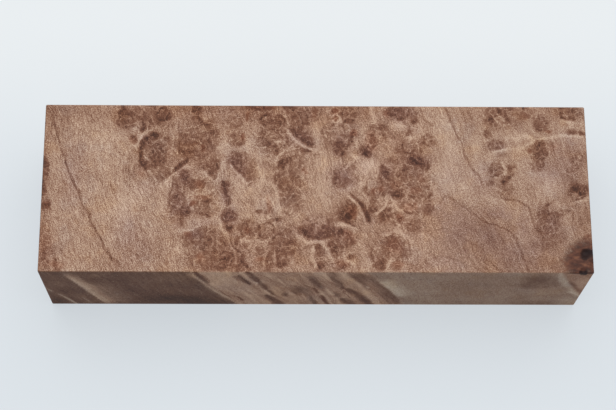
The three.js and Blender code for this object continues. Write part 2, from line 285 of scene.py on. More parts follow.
# Brown patches behind the eyes on the top face: middle, half sizes, tone, and for some a turn in degrees.
TOP_PATCHES: tuple[tuple[float, ...], ...] = (
    # Grounds of the clusters.
    (-41.0, 17.5, 6.6, 4.6, 0.26), (-38.5, 8.5, 5.2, 7.0, 0.24), (-28.0, 10.0, 6.2, 9.0, 0.24),
    (-28.5, -3.0, 6.2, 7.5, 0.24), (-25.0, -15.5, 6.0, 6.0, 0.28), (-15.5, -14.5, 6.0, 7.0, 0.18),
    (-8.0, 11.5, 6.5, 9.5, 0.24), (-7.0, -1.5, 5.6, 6.0, 0.22), (-8.5, -14.5, 5.0, 6.0, 0.28),
    (0.5, -14.0, 5.0, 6.5, 0.22), (6.0, 14.5, 5.5, 7.0, 0.20), (14.5, 10.5, 5.0, 8.0, 0.14),
    (21.0, 4.0, 6.5, 8.5, 0.22), (21.5, 16.5, 5.5, 4.5, 0.22), (20.5, -6.0, 7.0, 5.5, 0.22),
    (18.0, -15.5, 5.5, 5.5, 0.22), (6.0, -15.0, 5.5, 6.0, 0.20), (8.5, -4.5, 5.0, 4.5, 0.18),
    # Left cluster.
    (-45.0, 18.2, 3.2, 3.2, 0.42), (-45.6, 17.4, 2.4, 2.6, 0.72), (-39.7, 18.2, 3.3, 2.8, 0.56),
    (-36.7, 18.6, 1.8, 2.1, 0.58), (-33.0, 17.5, 2.0, 4.0, 0.16), (-43.6, 12.3, 1.3, 0.9, 0.46),
    (-39.6, 9.2, 2.6, 4.4, 0.46), (-37.9, 8.0, 2.6, 3.0, 0.72), (-35.7, 11.9, 0.9, 1.4, 0.56),
    (-34.0, 9.0, 1.1, 3.6, 0.30), (-36.2, 3.7, 1.8, 1.6, 0.42), (-38.4, 2.2, 1.4, 1.0, 0.24),
    (-44.0, 5.0, 1.8, 3.0, 0.14), (-40.6, 9.2, 0.8, 1.1, 0.24),
    # Middle left, towards the back.
    (-28.9, 18.8, 1.6, 2.6, 0.64), (-26.6, 16.6, 2.6, 1.1, 0.50, -32), (-26.8, 18.0, 1.2, 0.9, 0.00),
    (-29.5, 11.0, 4.0, 3.9, 0.42), (-29.6, 9.3, 2.5, 2.4, 0.56), (-28.3, 9.9, 0.7, 0.7, 0.24),
    (-26.4, 12.4, 2.0, 2.0, 0.42), (-31.4, 2.8, 1.4, 1.9, 0.74), (-33.0, 0.5, 1.4, 3.8, 0.44),
    (-29.6, 0.6, 1.5, 1.2, 0.70), (-27.6, 0.9, 1.4, 1.3, 0.54), (-27.0, 5.3, 1.2, 1.2, 0.52),
    (-24.3, 5.1, 1.5, 2.4, 0.62), (-24.3, 12.8, 1.7, 2.8, 0.54), (-23.5, 18.0, 2.4, 3.0, 0.24),
    (-19.6, 16.0, 2.0, 4.4, 0.36), (-18.6, 12.2, 1.7, 1.9, 0.46), (-24.6, 2.4, 1.4, 1.2, 0.44),
    (-17.4, 5.2, 4.4, 3.0, 0.40, 120), (-18.8, 5.6, 3.6, 1.5, 0.54, 118), (-19.9, 7.0, 1.7, 1.0, 0.70, 112),
    (-21.4, 0.1, 1.25, 1.7, 0.76), (-21.1, -2.6, 0.75, 1.8, 0.62), (-20.2, -0.6, 1.0, 1.6, 0.36),
    (-20.6, -7.2, 1.9, 1.7, 0.76),
    (-20.6, -10.2, 1.1, 1.3, 0.62),
    # Middle left, towards the front.
    (-33.0, -4.6, 2.0, 5.0, 0.38), (-31.3, -5.8, 1.5, 1.7, 0.66), (-32.2, -8.2, 0.8, 1.9, 0.50, 10),
    (-26.8, -4.8, 2.3, 2.3, 0.38), (-24.4, -4.0, 1.4, 3.4, 0.30), (-26.5, -8.6, 3.6, 1.2, 0.10),
    (-26.4, -15.4, 3.8, 4.8, 0.48), (-29.0, -12.4, 1.9, 1.9, 0.58), (-28.3, -11.3, 1.2, 1.1, 0.82),
    (-25.6, -13.0, 1.8, 1.6, 0.54), (-21.4, -16.6, 1.9, 2.8, 0.48), (-18.5, -13.4, 0.7, 1.9, 0.52),
    (-22.0, -20.2, 1.6, 1.0, 0.52),
    (-25.4, -19.6, 2.0, 1.4, 0.58), (-18.2, -19.3, 2.4, 1.4, 0.60), (-16.2, -10.4, 2.2, 2.3, 0.50),
    (-16.2, -15.4, 2.6, 2.2, 0.26), (-13.8, -17.4, 1.6, 1.4, 0.42),
    # Middle, towards the back.
    (-10.2, 12.4, 4.2, 3.9, 0.42), (-11.9, 17.1, 2.2, 2.1, 0.36), (-8.9, 16.8, 1.4, 1.7, 0.42),
    (-4.0, 17.6, 3.0, 3.2, 0.48), (-13.2, 20.4, 3.4, 0.9, 0.56), (-6.6, 6.4, 3.6, 3.2, 0.38),
    (-8.1, 6.4, 1.5, 1.7, 0.66), (-6.5, 1.2, 3.9, 3.4, 0.46), (-6.1, -4.0, 3.0, 3.0, 0.38),
    (-1.8, 4.0, 1.8, 4.0, 0.16), (-2.4, 9.5, 2.4, 0.9, 0.50, -18),
    (-3.4, 13.2, 3.8, 2.2, 0.50, -45), (-3.8, 12.6, 3.4, 1.5, 0.58, -46), (0.5, 14.2, 1.2, 3.6, -0.06),
    # Middle, towards the front.
    (-12.0, -10.6, 2.4, 2.4, 0.50), (-9.6, -8.0, 1.3, 0.7, 0.62), (-12.8, -6.2, 1.9, 0.7, 0.56),
    (-11.2, -4.5, 0.8, 1.9, 0.42), (-15.8, -3.8, 1.6, 1.2, 0.26), (-8.0, -14.8, 3.2, 4.3, 0.50),
    (-11.0, -17.9, 1.4, 1.9, 0.50), (-1.0, -9.0, 3.4, 2.2, 0.30), (-2.2, -10.9, 2.6, 1.6, 0.52, -28),
    (0.6, -15.6, 1.4, 2.3, 0.50),
    (0.7, -19.6, 1.2, 1.3, 0.64),
    # Middle right, towards the back.
    (-0.6, 19.0, 1.2, 2.2, 0.34), (4.6, 18.7, 1.4, 1.9, 0.48), (7.9, 18.6, 2.2, 2.3, 0.50),
    (2.6, 12.5, 1.6, 3.0, 0.30), (7.2, 11.8, 3.6, 2.0, 0.42, 62), (5.7, 10.2, 1.5, 2.3, 0.70),
    (13.7, 13.0, 2.1, 3.2, 0.42), (11.8, 9.0, 1.8, 1.2, 0.72, -40), (15.8, 15.5, 1.6, 1.0, 0.54, -25),
    (16.6, 12.8, 0.8, 1.6, 0.42), (19.9, 19.5, 3.7, 2.4, 0.60), (18.8, 12.0, 1.8, 3.0, 0.20),
    (19.4, 15.5, 1.5, 1.2, -0.10), (22.2, 10.4, 2.4, 2.4, 0.40),
    (17.9, 7.3, 1.9, 0.9, 0.52), (24.0, 7.0, 1.9, 1.3, 0.70), (26.0, 5.6, 1.8, 1.0, 0.60, -38),
    (21.0, 3.2, 3.9, 3.1, 0.50), (20.0, 0.0, 4.0, 2.2, 0.48), (19.0, -1.6, 1.8, 1.0, 0.72),
    (15.0, 0.8, 1.7, 2.4, 0.40), (7.4, 2.6, 3.4, 2.6, 0.36), (4.8, 2.6, 0.9, 1.0, 0.54),
    (24.0, 1.6, 3.0, 3.2, 0.42),
    (26.4, 11.8, 1.8, 2.2, 0.34), (23.8, 17.4, 0.9, 1.9, 0.56, -22), (22.2, 14.2, 0.5, 1.2, 0.58, -30),
    (25.3, 15.0, 1.1, 1.6, -0.06), (20.9, 9.9, 0.6, 1.6, 0.54), (11.2, 5.2, 3.8, 2.0, -0.02),
    # Middle right, towards the front.
    (13.4, -2.0, 1.7, 1.9, 0.48), (4.6, -6.8, 1.9, 2.0, 0.34), (7.5, -5.8, 2.3, 3.3, 0.54, -15),
    (6.6, -7.0, 1.8, 1.9, 0.72), (13.3, -5.4, 1.2, 1.1, 0.70), (16.2, -6.5, 1.4, 2.6, 0.66, -18),
    (18.8, -7.0, 2.1, 2.2, 0.44), (22.5, -5.0, 2.5, 2.2, 0.42), (24.0, -1.5, 2.0, 1.6, 0.48),
    (23.2, -9.4, 1.7, 2.1, 0.46), (2.6, -10.9, 2.8, 1.6, 0.76, 18), (3.2, -8.6, 1.2, 1.4, 0.50),
    (5.4, -11.1, 1.7, 1.3, 0.66), (4.6, -14.6, 2.2, 2.3, 0.58),
    (7.5, -13.0, 2.3, 2.3, 0.50), (8.2, -17.4, 1.1, 0.9, 0.60), (6.0, -19.3, 2.2, 1.4, 0.42),
    (18.6, -14.6, 3.6, 3.4, 0.38), (17.5, -14.8, 2.4, 3.0, 0.58), (19.4, -16.0, 2.0, 1.6, 0.56),
    (13.0, -16.4, 1.1, 1.6, 0.50), (14.4, -19.0, 1.6, 1.9, 0.60),
    (18.3, -19.0, 2.0, 1.6, 0.42), (22.6, -19.6, 2.0, 1.4, 0.24), (26.5, -3.6, 1.2, 2.2, 0.44, -15),
    (26.4, -4.8, 1.2, 1.8, 0.60, -20), (27.6, 1.5, 0.9, 0.8, 0.30),
    (27.2, -0.6, 0.8, 0.7, 0.36), (26.7, 3.4, 0.8, 0.6, 0.18), (11.9, 9.0, 1.7, 1.1, 0.72, -38),
    # Right.
    (43.8, 18.4, 3.8, 3.2, 0.45), (42.0, 17.4, 1.6, 1.1, 0.64), (41.2, 13.6, 1.3, 1.4, 0.50),
    (43.2, 10.9, 2.5, 1.4, 0.48), (43.0, 4.6, 1.6, 2.6, 0.46, -10), (45.8, 3.4, 1.4, 3.0, 0.50, -26),
    (44.7, 0.0, 3.0, 1.6, 0.28), (50.2, 19.4, 2.2, 1.9, 0.50), (54.3, 16.6, 2.2, 2.4, 0.58),
    (53.6, 9.3, 2.0, 3.3, 0.66, -10), (52.9, 5.9, 1.8, 1.4, 0.58),
    (48.8, 13.2, 3.0, 1.0, -0.10), (61.6, 19.2, 2.8, 1.8, 0.48),
    (62.6, 14.3, 2.0, 0.8, 0.50), (62.0, 5.4, 5.0, 2.0, 0.25, 60), (62.8, -0.4, 2.4, 1.8, 0.58),
    (54.6, -8.8, 3.1, 4.6, 0.34), (54.4, -6.6, 1.9, 1.5, 0.48), (57.6, -6.3, 2.4, 0.8, 0.34, 15),
    (56.6, 10.4, 1.8, 1.2, 0.24),
    # Left end.
    (-65.0, 3.0, 1.7, 7.0, 0.34), (-64.6, 5.2, 1.1, 3.0, 0.66), (-64.9, 0.2, 0.9, 2.6, 0.66),
    (-63.8, -4.4, 1.4, 1.3, 0.56), (-64.6, -14.0, 2.6, 6.0, 0.24), (-61.6, -18.6, 1.2, 2.8, 0.34, 65),
)

# Mauve-grey clouds in the plain wood of the top face: middle, half sizes, strength.
TOP_MAUVES: tuple[tuple[float, ...], ...] = (
    (34.0, -11.0, 6.0, 6.0, 0.8), (30.0, -5.0, 3.0, 4.0, 0.7), (39.0, 2.0, 4.0, 4.0, 0.6),
    (56.0, 3.5, 5.0, 4.0, 0.8), (51.0, -15.0, 4.0, 5.0, 0.7), (60.0, 7.0, 4.0, 6.0, 0.7),
    (30.0, -19.0, 5.0, 2.4, 0.7), (-58.0, 3.0, 2.4, 7.0, 0.7), (-44.0, -12.0, 3.0, 7.0, 0.7),
    (41.0, -12.0, 5.0, 4.6, 0.9), (43.0, -6.4, 5.0, 1.7, 0.9), (33.0, -6.0, 3.2, 2.4, 0.6),
    (45.5, -15.5, 4.0, 4.0, 0.8), (49.0, -10.0, 2.2, 5.0, 0.7), (55.0, -9.0, 3.0, 4.4, 0.9),
    (35.0, -16.0, 2.8, 1.8, 0.6), (57.0, 2.0, 4.0, 4.0, 0.5), (61.0, 10.0, 3.0, 4.0, 0.6),
    (-42.0, -15.0, 4.0, 4.0, 0.6), (-33.0, -4.0, 1.8, 5.0, 0.8), (7.0, 2.0, 3.0, 2.4, 0.9),
    (11.0, 5.0, 3.6, 2.6, 0.5), (-1.0, -10.0, 3.0, 2.6, 0.8), (-17.6, 4.8, 2.4, 3.4, 0.7),
    (-57.0, 6.0, 3.0, 5.0, 0.5), (43.2, 11.0, 2.0, 1.2, 0.6), (-26.0, -9.0, 4.0, 1.2, 0.5),
    (33.0, 4.0, 3.0, 5.0, 0.5), (-41.0, -0.5, 3.0, 2.0, 0.5), (-20.5, -7.6, 1.8, 2.8, 1.0),
    (-21.5, -1.6, 1.3, 3.2, 1.0), (-31.3, -5.7, 1.8, 2.0, 0.9), (-31.5, 2.6, 1.6, 2.4, 1.0),
    (-19.4, 6.6, 1.8, 2.6, 1.0), (-4.0, 12.4, 3.0, 2.0, 0.9), (6.0, 10.6, 1.8, 3.0, 1.0),
    (1.0, -11.0, 5.0, 2.0, 1.0), (24.5, 6.6, 3.0, 1.6, 0.9), (16.5, 4.0, 1.4, 2.4, 0.9),
    (12.0, 9.0, 1.6, 1.6, 0.9), (-28.6, -11.6, 2.0, 1.4, 0.9), (20.0, 19.4, 3.6, 2.0, 0.8),
    (6.4, 3.0, 3.2, 3.0, 1.0), (-41.0, 5.6, 1.2, 1.8, 0.6), (-40.8, 12.4, 1.8, 1.2, 0.6),
)

# Ringed burls on the top face: middle and radius.
TOP_ROSETTES: tuple[tuple[float, float, float], ...] = (
    (-38.0, 8.0, 2.8), (-28.8, 9.8, 3.6), (-45.6, 16.8, 2.2), (-36.5, 18.5, 1.9), (-26.9, -5.0, 2.3),
    (-26.7, -14.9, 1.7), (-21.1, -17.5, 2.1), (-25.3, -12.5, 2.0), (-16.0, -10.7, 2.3), (-11.8, -10.7, 2.6),
    (-9.9, 12.2, 3.4), (-11.9, 17.0, 2.0), (-8.9, 16.6, 1.4), (-3.7, 15.0, 2.6),
    (18.5, -6.7, 2.2), (7.8, 18.5, 2.0), (4.85, 17.5, 1.2),
    (27.2, 12.0, 1.8), (21.8, 3.2, 2.0), (13.4, 12.0, 2.4), (42.8, 4.7, 2.0), (54.4, 16.3, 2.0),
    (43.0, 10.7, 2.0), (53.8, 9.0, 2.2), (20.5, 19.2, 2.6), (7.5, -7.0, 2.2),
)

# Charred cores of the bark pocket on the top face: middle and half sizes.
BARK_CORES: tuple[tuple[float, ...], ...] = (
    (63.4, -16.4, 1.6, 1.4), (62.4, -20.6, 1.0, 0.7),
)

# Broad soft tones of the top face: middle, half sizes, and how much darker (or lighter, below zero).
TOP_TONES: tuple[tuple[float, ...], ...] = (
    (-65.0, 0.0, 2.2, 20.0, 0.25), (-59.0, -15.0, 6.0, 6.0, 0.10), (-55.0, 10.0, 5.0, 12.0, -0.06),
    (-40.0, -15.0, 6.0, 6.0, 0.08), (-45.0, 5.0, 3.5, 4.0, 0.12), (-61.5, 19.5, 5.0, 4.5, 0.27),
    (-43.0, -2.5, 5.5, 8.0, -0.17), (-56.0, -8.0, 8.0, 5.0, 0.06), (-41.0, 9.0, 5.0, 4.0, 0.05),
    (-30.5, 9.8, 5.5, 4.6, 0.20), (-20.0, 21.0, 40.0, 4.0, 0.08), (-27.0, 17.4, 11.0, 5.0, 0.13),
    (-31.0, -8.0, 5.0, 4.0, -0.06), (-20.0, -17.4, 5.5, 4.4, 0.17), (-15.0, 6.0, 3.0, 6.0, -0.06),
    (-8.0, 0.0, 30.0, 22.0, 0.06), (-10.0, -6.5, 5.0, 5.5, -0.11), (0.3, 3.5, 2.6, 10.0, -0.12),
    (11.0, 5.0, 4.0, 3.0, -0.12), (10.0, 17.0, 5.0, 4.4, 0.08), (32.0, 9.5, 4.0, 9.0, -0.14),
    (30.0, -16.0, 4.0, 5.0, 0.06), (40.0, 0.0, 6.0, 4.0, 0.04), (39.8, -6.2, 4.0, 1.9, 0.18),
    (38.4, -12.2, 9.0, 8.0, 0.29), (44.0, -20.0, 20.0, 5.0, 0.12), (42.0, 19.0, 7.0, 4.0, 0.09),
    (48.6, -16.6, 8.0, 5.0, 0.19), (50.0, 8.0, 5.0, 4.0, 0.06), (54.0, -10.0, 4.0, 6.0, 0.16),
    (56.0, 0.0, 3.0, 3.0, -0.10), (57.0, -18.0, 8.0, 4.0, 0.08), (60.0, 8.0, 4.0, 6.0, 0.10),
    (61.7, -2.0, 5.0, 7.0, 0.26), (61.0, 19.5, 6.0, 3.6, 0.20),
)

# Dark bands on the top face.
TOP_BANDS: tuple[Stroke, ...] = (
    Stroke(((-42.0, 9.9), (-41.3, 11.4), (-40.0, 12.5), (-38.8, 13.2), (-37.4, 12.8)), 0.85, 0.86),
    Stroke(((-42.1, 8.2), (-41.8, 6.6), (-41.0, 5.4), (-39.8, 4.5)), 0.80, 0.86),
    Stroke(((-34.0, 3.9), (-32.6, 5.1), (-31.4, 6.2), (-30.3, 6.9)), 0.75, 0.95),
    Stroke(((-28.9, 18.0), (-28.2, 17.1), (-27.2, 16.3), (-25.6, 15.6)), 0.50, 0.76),
    Stroke(((-22.0, 1.6), (-21.2, 0.4), (-21.4, -1.4), (-20.9, -3.0), (-21.2, -4.5)), 0.70, 0.82),
    Stroke(((-6.3, 15.6), (-5.2, 13.4), (-3.8, 11.9), (-2.4, 11.0), (-0.8, 10.7)), 0.60, 0.78),
    Stroke(((-2.6, 18.8), (-2.1, 17.0), (-1.9, 15.8)), 0.35, 0.66),
    Stroke(((-4.3, 10.0), (-3.0, 9.4), (-1.1, 8.8)), 0.45, 0.74),
    Stroke(((-14.3, -5.6), (-12.8, -6.1), (-11.5, -6.6)), 0.45, 0.76),
    Stroke(((-4.0, -10.2), (-2.6, -11.4), (-1.0, -12.4)), 0.70, 0.66),
    Stroke(((8.6, 13.4), (8.1, 12.0), (7.5, 10.6)), 0.45, 0.82),
    Stroke(((15.9, 5.9), (16.6, 4.2), (17.4, 2.4)), 1.15, 0.84),
    Stroke(((21.7, 13.3), (22.3, 14.2), (22.9, 15.0)), 0.34, 0.90),
    Stroke(((8.0, -1.3), (9.2, -2.2), (9.9, -3.3), (10.8, -4.9), (11.5, -6.4), (12.4, -8.2)), 0.52, 0.84),
    Stroke(((46.8, 3.1), (45.6, 2.5), (44.5, 1.3)), 0.50, 0.70),
    Stroke(((54.7, 12.1), (53.6, 10.9), (52.8, 9.6), (52.8, 8.0)), 0.50, 0.68),
    Stroke(((59.1, 18.5), (60.6, 17.9), (61.7, 18.0), (62.7, 17.4)), 0.35, 0.84),
    Stroke(((61.8, 0.3), (62.7, -0.9), (63.8, -1.8)), 0.55, 0.90),
    Stroke(((56.4, -6.8), (58.4, -6.5), (59.8, -5.6)), 0.50, 0.42),
)

# Wedges on the top face, sharp along their path and fading to one side, and a streak that parts one.
TOP_WEDGES: tuple[Stroke, ...] = (
    Stroke(((4.7, 5.6), (4.1, 4.0), (3.9, 2.4), (4.1, 0.8), (5.0, -1.0)), 0.3, 0.62, 9.0),
    Stroke(((9.6, 7.6), (7.6, 6.4), (5.8, 5.4), (4.2, 4.4)), 0.3, 0.50, 5.0),
    Stroke(((-20.9, 10.0), (-20.9, 7.8), (-20.0, 5.4), (-18.3, 3.2), (-16.2, 0.8)), 0.3, 0.62, 6.6),
    Stroke(((-4.8, -9.4), (-3.4, -11.4), (-1.6, -12.6), (0.2, -12.9), (2.2, -12.4),
            (4.0, -11.4)), 0.3, 0.82, 6.0),
    Stroke(((-1.4, -12.9), (-0.3, -11.2), (1.2, -9.0)), 0.34, 0.46),
    Stroke(((-6.5, 16.8), (-5.7, 14.2), (-4.4, 12.4), (-2.8, 11.1), (-0.2, 10.4)), 0.3, 0.80, 2.8),
    Stroke(((-34.2, 3.8), (-34.4, 0.0), (-34.7, -3.5), (-34.2, -7.6)), 0.3, 0.50, 3.6),
    Stroke(((-25.8, -9.7), (-28.6, -10.5), (-30.6, -11.4), (-32.4, -12.9)), 0.3, 0.64, 3.2),
    Stroke(((-36.6, 12.8), (-39.2, 13.4), (-41.2, 11.8), (-42.3, 9.4), (-42.0, 6.6),
            (-40.2, 4.2)), 0.3, 0.78, 2.2),
)

# Thin dark growth lines and creases on the top face.
TOP_LINES: tuple[Stroke, ...] = (
    Stroke(((-63.6, 20.6), (-63.1, 17.6), (-62.5, 14.7), (-61.8, 12.5), (-61.1, 10.2), (-60.1, 7.5),
            (-59.4, 5.3), (-58.4, 2.9), (-57.7, 1.2), (-56.7, -0.5), (-55.8, -1.9), (-55.2, -3.7),
            (-54.3, -5.6), (-53.5, -7.5), (-52.6, -9.8), (-51.6, -11.4), (-50.6, -13.4), (-49.6, -15.3),
            (-48.0, -17.3), (-46.5, -18.5), (-45.8, -19.7), (-45.4, -21.2)), 0.32, 0.68),
    Stroke(((31.4, 21.0), (32.2, 18.8), (32.8, 16.9), (33.5, 14.2), (34.5, 12.0), (35.1, 10.2),
            (35.6, 8.5), (36.2, 6.8), (36.7, 5.1), (37.8, 4.1), (38.8, 2.7), (39.5, 1.0), (40.3, -0.7)),
           0.24, 0.50),
    Stroke(((29.2, -4.2), (30.2, -2.8), (31.2, -2.1), (33.9, -3.7), (36.2, -5.8), (38.8, -8.0)), 0.22, 0.40),
    Stroke(((37.6, -6.9), (38.8, -8.0), (40.5, -9.0), (42.7, -9.3), (44.4, -10.0), (45.7, -11.0),
            (46.7, -12.0), (47.1, -13.4), (47.5, -15.2), (48.4, -17.3), (49.2, -18.8), (49.6, -21.2)),
           0.28, 0.62),
    Stroke(((42.8, -2.0), (45.0, -2.7), (47.3, -3.1), (49.5, -4.1), (50.5, -4.9), (50.7, -6.8),
            (51.1, -8.5), (51.7, -10.0), (52.6, -11.5), (53.3, -13.0), (53.4, -15.6)), 0.26, 0.56),
    Stroke(((24.4, -10.8), (28.0, -10.7), (31.0, -10.4), (33.8, -12.2), (36.5, -14.0),
            (38.0, -15.5)), 0.22, 0.34),
    Stroke(((25.4, -18.6), (28.0, -17.4), (31.5, -17.4), (33.6, -18.3), (35.0, -20.4)), 0.20, 0.34),
    Stroke(((40.5, -17.6), (41.5, -19.0), (42.4, -20.6)), 0.20, 0.32),
    Stroke(((57.5, 2.6), (57.5, -0.6)), 0.16, 0.30),
    Stroke(((1.2, 20.6), (1.3, 17.0), (1.7, 13.0), (2.6, 9.0), (3.6, 5.5), (3.8, 1.5), (3.7, -2.5),
            (3.4, -6.0)), 0.20, 0.34),
    Stroke(((61.2, -5.2), (60.4, -7.5), (60.3, -10.0), (61.6, -12.2), (65.2, -12.8)), 0.22, 0.46),
    Stroke(((62.4, 7.5), (61.6, 6.1), (61.0, 4.6), (60.8, 2.8)), 0.20, 0.42),
    Stroke(((61.2, -3.1), (62.5, -2.7), (64.2, -1.9)), 0.20, 0.75),
    Stroke(((-52.5, 3.6), (-51.4, 1.9), (-50.1, 0.3)), 0.17, 0.42),
    Stroke(((-48.7, 1.4), (-47.5, -0.7)), 0.17, 0.38),
    Stroke(((-53.8, -2.9), (-53.3, -3.7)), 0.17, 0.48),
    Stroke(((-50.4, -1.9), (-49.6, -4.6)), 0.17, 0.36),
    Stroke(((-34.3, 3.2), (-34.4, 0.0), (-34.7, -3.0), (-34.9, -5.6)), 0.20, 0.50),
    Stroke(((-36.9, -7.4), (-36.1, -7.2), (-35.4, -8.0)), 0.17, 0.40),
    Stroke(((-30.1, -13.6), (-29.8, -16.3), (-28.9, -18.3)), 0.17, 0.32),
    Stroke(((-29.2, -10.5), (-27.8, -10.0), (-26.8, -9.6)), 0.18, 0.62),
    Stroke(((-20.4, -12.2), (-19.9, -14.2), (-18.8, -15.6), (-17.7, -16.0)), 0.27, 0.82),
    Stroke(((-16.8, -0.1), (-16.2, 0.7), (-15.5, 1.2)), 0.24, 0.62),
    Stroke(((-9.7, 19.1), (-8.5, 18.1), (-7.6, 17.2)), 0.24, 0.66),
    Stroke(((-6.0, -1.0), (-4.6, -1.4), (-3.9, -1.9)), 0.20, 0.56),
    Stroke(((-7.6, -6.2), (-6.7, -6.7), (-5.8, -7.0)), 0.20, 0.62),
    Stroke(((-13.0, -9.6), (-12.1, -8.9), (-10.9, -9.2), (-10.2, -10.3)), 0.24, 0.60),
    Stroke(((21.0, 11.4), (21.2, 9.6), (21.6, 8.8), (22.8, 8.8), (23.5, 9.9)), 0.28, 0.82),
    Stroke(((6.3, -8.0), (8.0, -9.0), (9.6, -9.8)), 0.28, 0.88),
    Stroke(((7.0, -11.5), (8.0, -13.3)), 0.24, 0.60),
    Stroke(((21.5, -3.0), (22.4, -1.8)), 0.24, 0.60),
    Stroke(((20.5, -5.2), (21.4, -5.9), (22.2, -6.4), (22.6, -5.9)), 0.26, 0.88),
    Stroke(((25.5, -3.3), (26.3, -2.5), (27.1, -2.0)), 0.22, 0.72),
    Stroke(((21.3, -12.7), (21.9, -14.3), (21.5, -16.0)), 0.20, 0.56),
)

# Light veins on the top face.
TOP_VEINS: tuple[Stroke, ...] = (
    Stroke(((-44.5, 10.2), (-42.6, 11.1), (-42.0, 12.5), (-41.5, 13.8), (-40.0, 14.4)), 0.26, 0.80),
    Stroke(((-41.4, 8.1), (-40.7, 7.3), (-39.9, 6.5)), 0.20, 0.80),
    Stroke(((-36.6, 0.6), (-35.0, 2.2), (-33.4, 3.5), (-31.8, 4.6), (-30.2, 5.4)), 0.20, 0.50),
    Stroke(((-27.4, 4.2), (-25.4, 2.3), (-23.4, 1.1)), 0.26, 0.75),
    Stroke(((-23.4, 1.1), (-22.6, 4.0), (-22.0, 6.5), (-21.1, 8.0)), 0.34, 0.65),
    Stroke(((-20.7, 5.6), (-19.0, 3.6), (-17.4, 1.6), (-16.8, 0.6)), 0.28, 0.75),
    Stroke(((-28.9, -1.8), (-25.7, -1.3), (-23.5, -0.3)), 0.22, 0.60),
    Stroke(((-31.5, -10.8), (-28.9, -10.2), (-27.0, -9.5)), 0.24, 0.80),
    Stroke(((-22.3, -4.0), (-22.4, -9.0), (-21.5, -11.5), (-20.5, -13.6), (-19.5, -15.8), (-19.2, -17.6),
            (-19.1, -20.6)), 0.22, 0.50),
    Stroke(((-17.9, -13.1), (-16.6, -13.0), (-15.2, -13.2)), 0.22, 0.70),
    Stroke(((-8.8, 20.8), (-7.9, 19.2), (-7.2, 17.8), (-6.8, 15.5)), 0.18, 0.45),
    Stroke(((-10.0, 11.7), (-8.9, 11.8), (-8.0, 12.1)), 0.18, 0.65),
    Stroke(((-6.7, 14.6), (-5.6, 12.3), (-4.6, 11.1), (-3.2, 10.4), (-0.6, 9.3), (0.6, 8.6)), 0.30, 0.85),
    Stroke(((-5.0, 11.3), (-6.9, 9.8), (-8.5, 8.5), (-9.6, 7.6), (-9.9, 6.2)), 0.22, 0.62),
    Stroke(((-11.6, -1.6), (-10.4, -3.6), (-9.4, -5.4), (-7.8, -7.0)), 0.30, 0.90),
    Stroke(((-10.6, 1.0), (-9.2, -1.6), (-8.7, -4.4), (-8.0, -6.2)), 0.30, 0.90),
    Stroke(((-18.0, -13.0), (-15.0, -13.5), (-12.0, -13.4), (-10.3, -12.0)), 0.20, 0.45),
    Stroke(((-12.6, -20.6), (-12.4, -18.0), (-12.1, -16.2), (-11.0, -14.9)), 0.20, 0.50),
    Stroke(((-9.8, -15.3), (-9.6, -17.0), (-9.5, -18.8)), 0.20, 0.65),
    Stroke(((-5.0, -11.6), (-3.4, -12.6), (-1.8, -13.5), (0.0, -13.2), (1.5, -13.4), (2.4, -15.1),
            (3.2, -17.3), (3.7, -19.0)), 0.30, 0.75),
    Stroke(((-0.9, -13.9), (-0.75, -15.3), (-0.9, -17.4), (-0.2, -20.2)), 0.28, 0.80),
    Stroke(((13.3, 20.8), (13.6, 19.0), (14.3, 16.2)), 0.42, 0.90),
    Stroke(((6.2, 4.6), (7.6, 5.7), (8.9, 7.0), (10.3, 7.7)), 0.26, 0.60),
    Stroke(((6.7, -1.8), (7.6, -2.2), (8.6, -2.9), (9.5, -3.7), (10.2, -5.2), (10.9, -6.8), (11.7, -8.8)),
           0.26, 0.80),
    Stroke(((13.7, -6.9), (15.0, -5.8), (16.4, -3.9), (17.2, -2.2)), 0.24, 0.75),
    Stroke(((5.2, -8.4), (7.5, -9.4), (8.9, -9.9), (10.0, -10.2)), 0.28, 0.80),
    Stroke(((6.2, -17.4), (7.5, -18.3), (9.2, -19.6)), 0.28, 0.80),
    Stroke(((17.2, -2.0), (18.5, -3.6), (18.6, -4.6), (19.7, -5.3), (20.5, -6.5)), 0.28, 0.80),
    Stroke(((18.5, -4.5), (17.2, -4.3), (16.6, -5.0)), 0.24, 0.75),
    Stroke(((18.0, -7.8), (18.8, -8.6)), 0.20, 0.80),
    Stroke(((15.0, -12.0), (16.7, -11.5), (19.2, -11.0), (21.2, -12.0), (22.5, -13.6)), 0.30, 0.66),
    Stroke(((15.9, -20.6), (16.6, -19.0), (17.3, -18.0)), 0.30, 0.75),
    Stroke(((41.5, 9.0), (44.2, 9.4), (46.2, 9.8), (49.0, 10.1), (51.2, 10.9), (52.7, 12.4)), 0.30, 0.90),
    Stroke(((52.7, 12.4), (54.6, 12.7), (56.5, 12.9), (58.5, 13.4), (60.5, 13.3), (65.2, 13.4)), 0.30, 0.90),
    Stroke(((45.4, 13.2), (48.0, 12.6), (50.4, 13.9), (52.2, 12.8)), 0.40, 0.60),
    Stroke(((44.6, 6.9), (44.9, 5.0), (44.6, 3.2)), 0.40, 0.80),
    Stroke(((58.8, 18.0), (60.6, 17.2), (62.8, 16.6)), 0.36, 0.70),
    Stroke(((60.5, -3.9), (62.6, -3.4), (65.2, -2.3)), 0.26, 0.70),
    Stroke(((3.9, 17.5), (4.3, 18.3), (4.9, 18.6), (5.5, 18.2), (5.8, 17.5), (5.5, 16.8), (4.9, 16.5),
            (4.3, 16.8), (3.9, 17.4)), 0.20, 0.85),
    Stroke(((-24.7, -10.4), (-23.4, -12.5), (-23.2, -15.5), (-22.9, -17.5)), 0.18, 0.28),
    Stroke(((21.4, 12.6), (22.6, 13.0), (24.4, 12.6)), 0.22, 0.55),
    Stroke(((42.9, 18.3), (43.3, 17.5), (43.9, 16.6)), 0.24, 0.70),
    Stroke(((44.0, 19.0), (44.8, 18.0), (45.2, 17.0)), 0.24, 0.60),
)

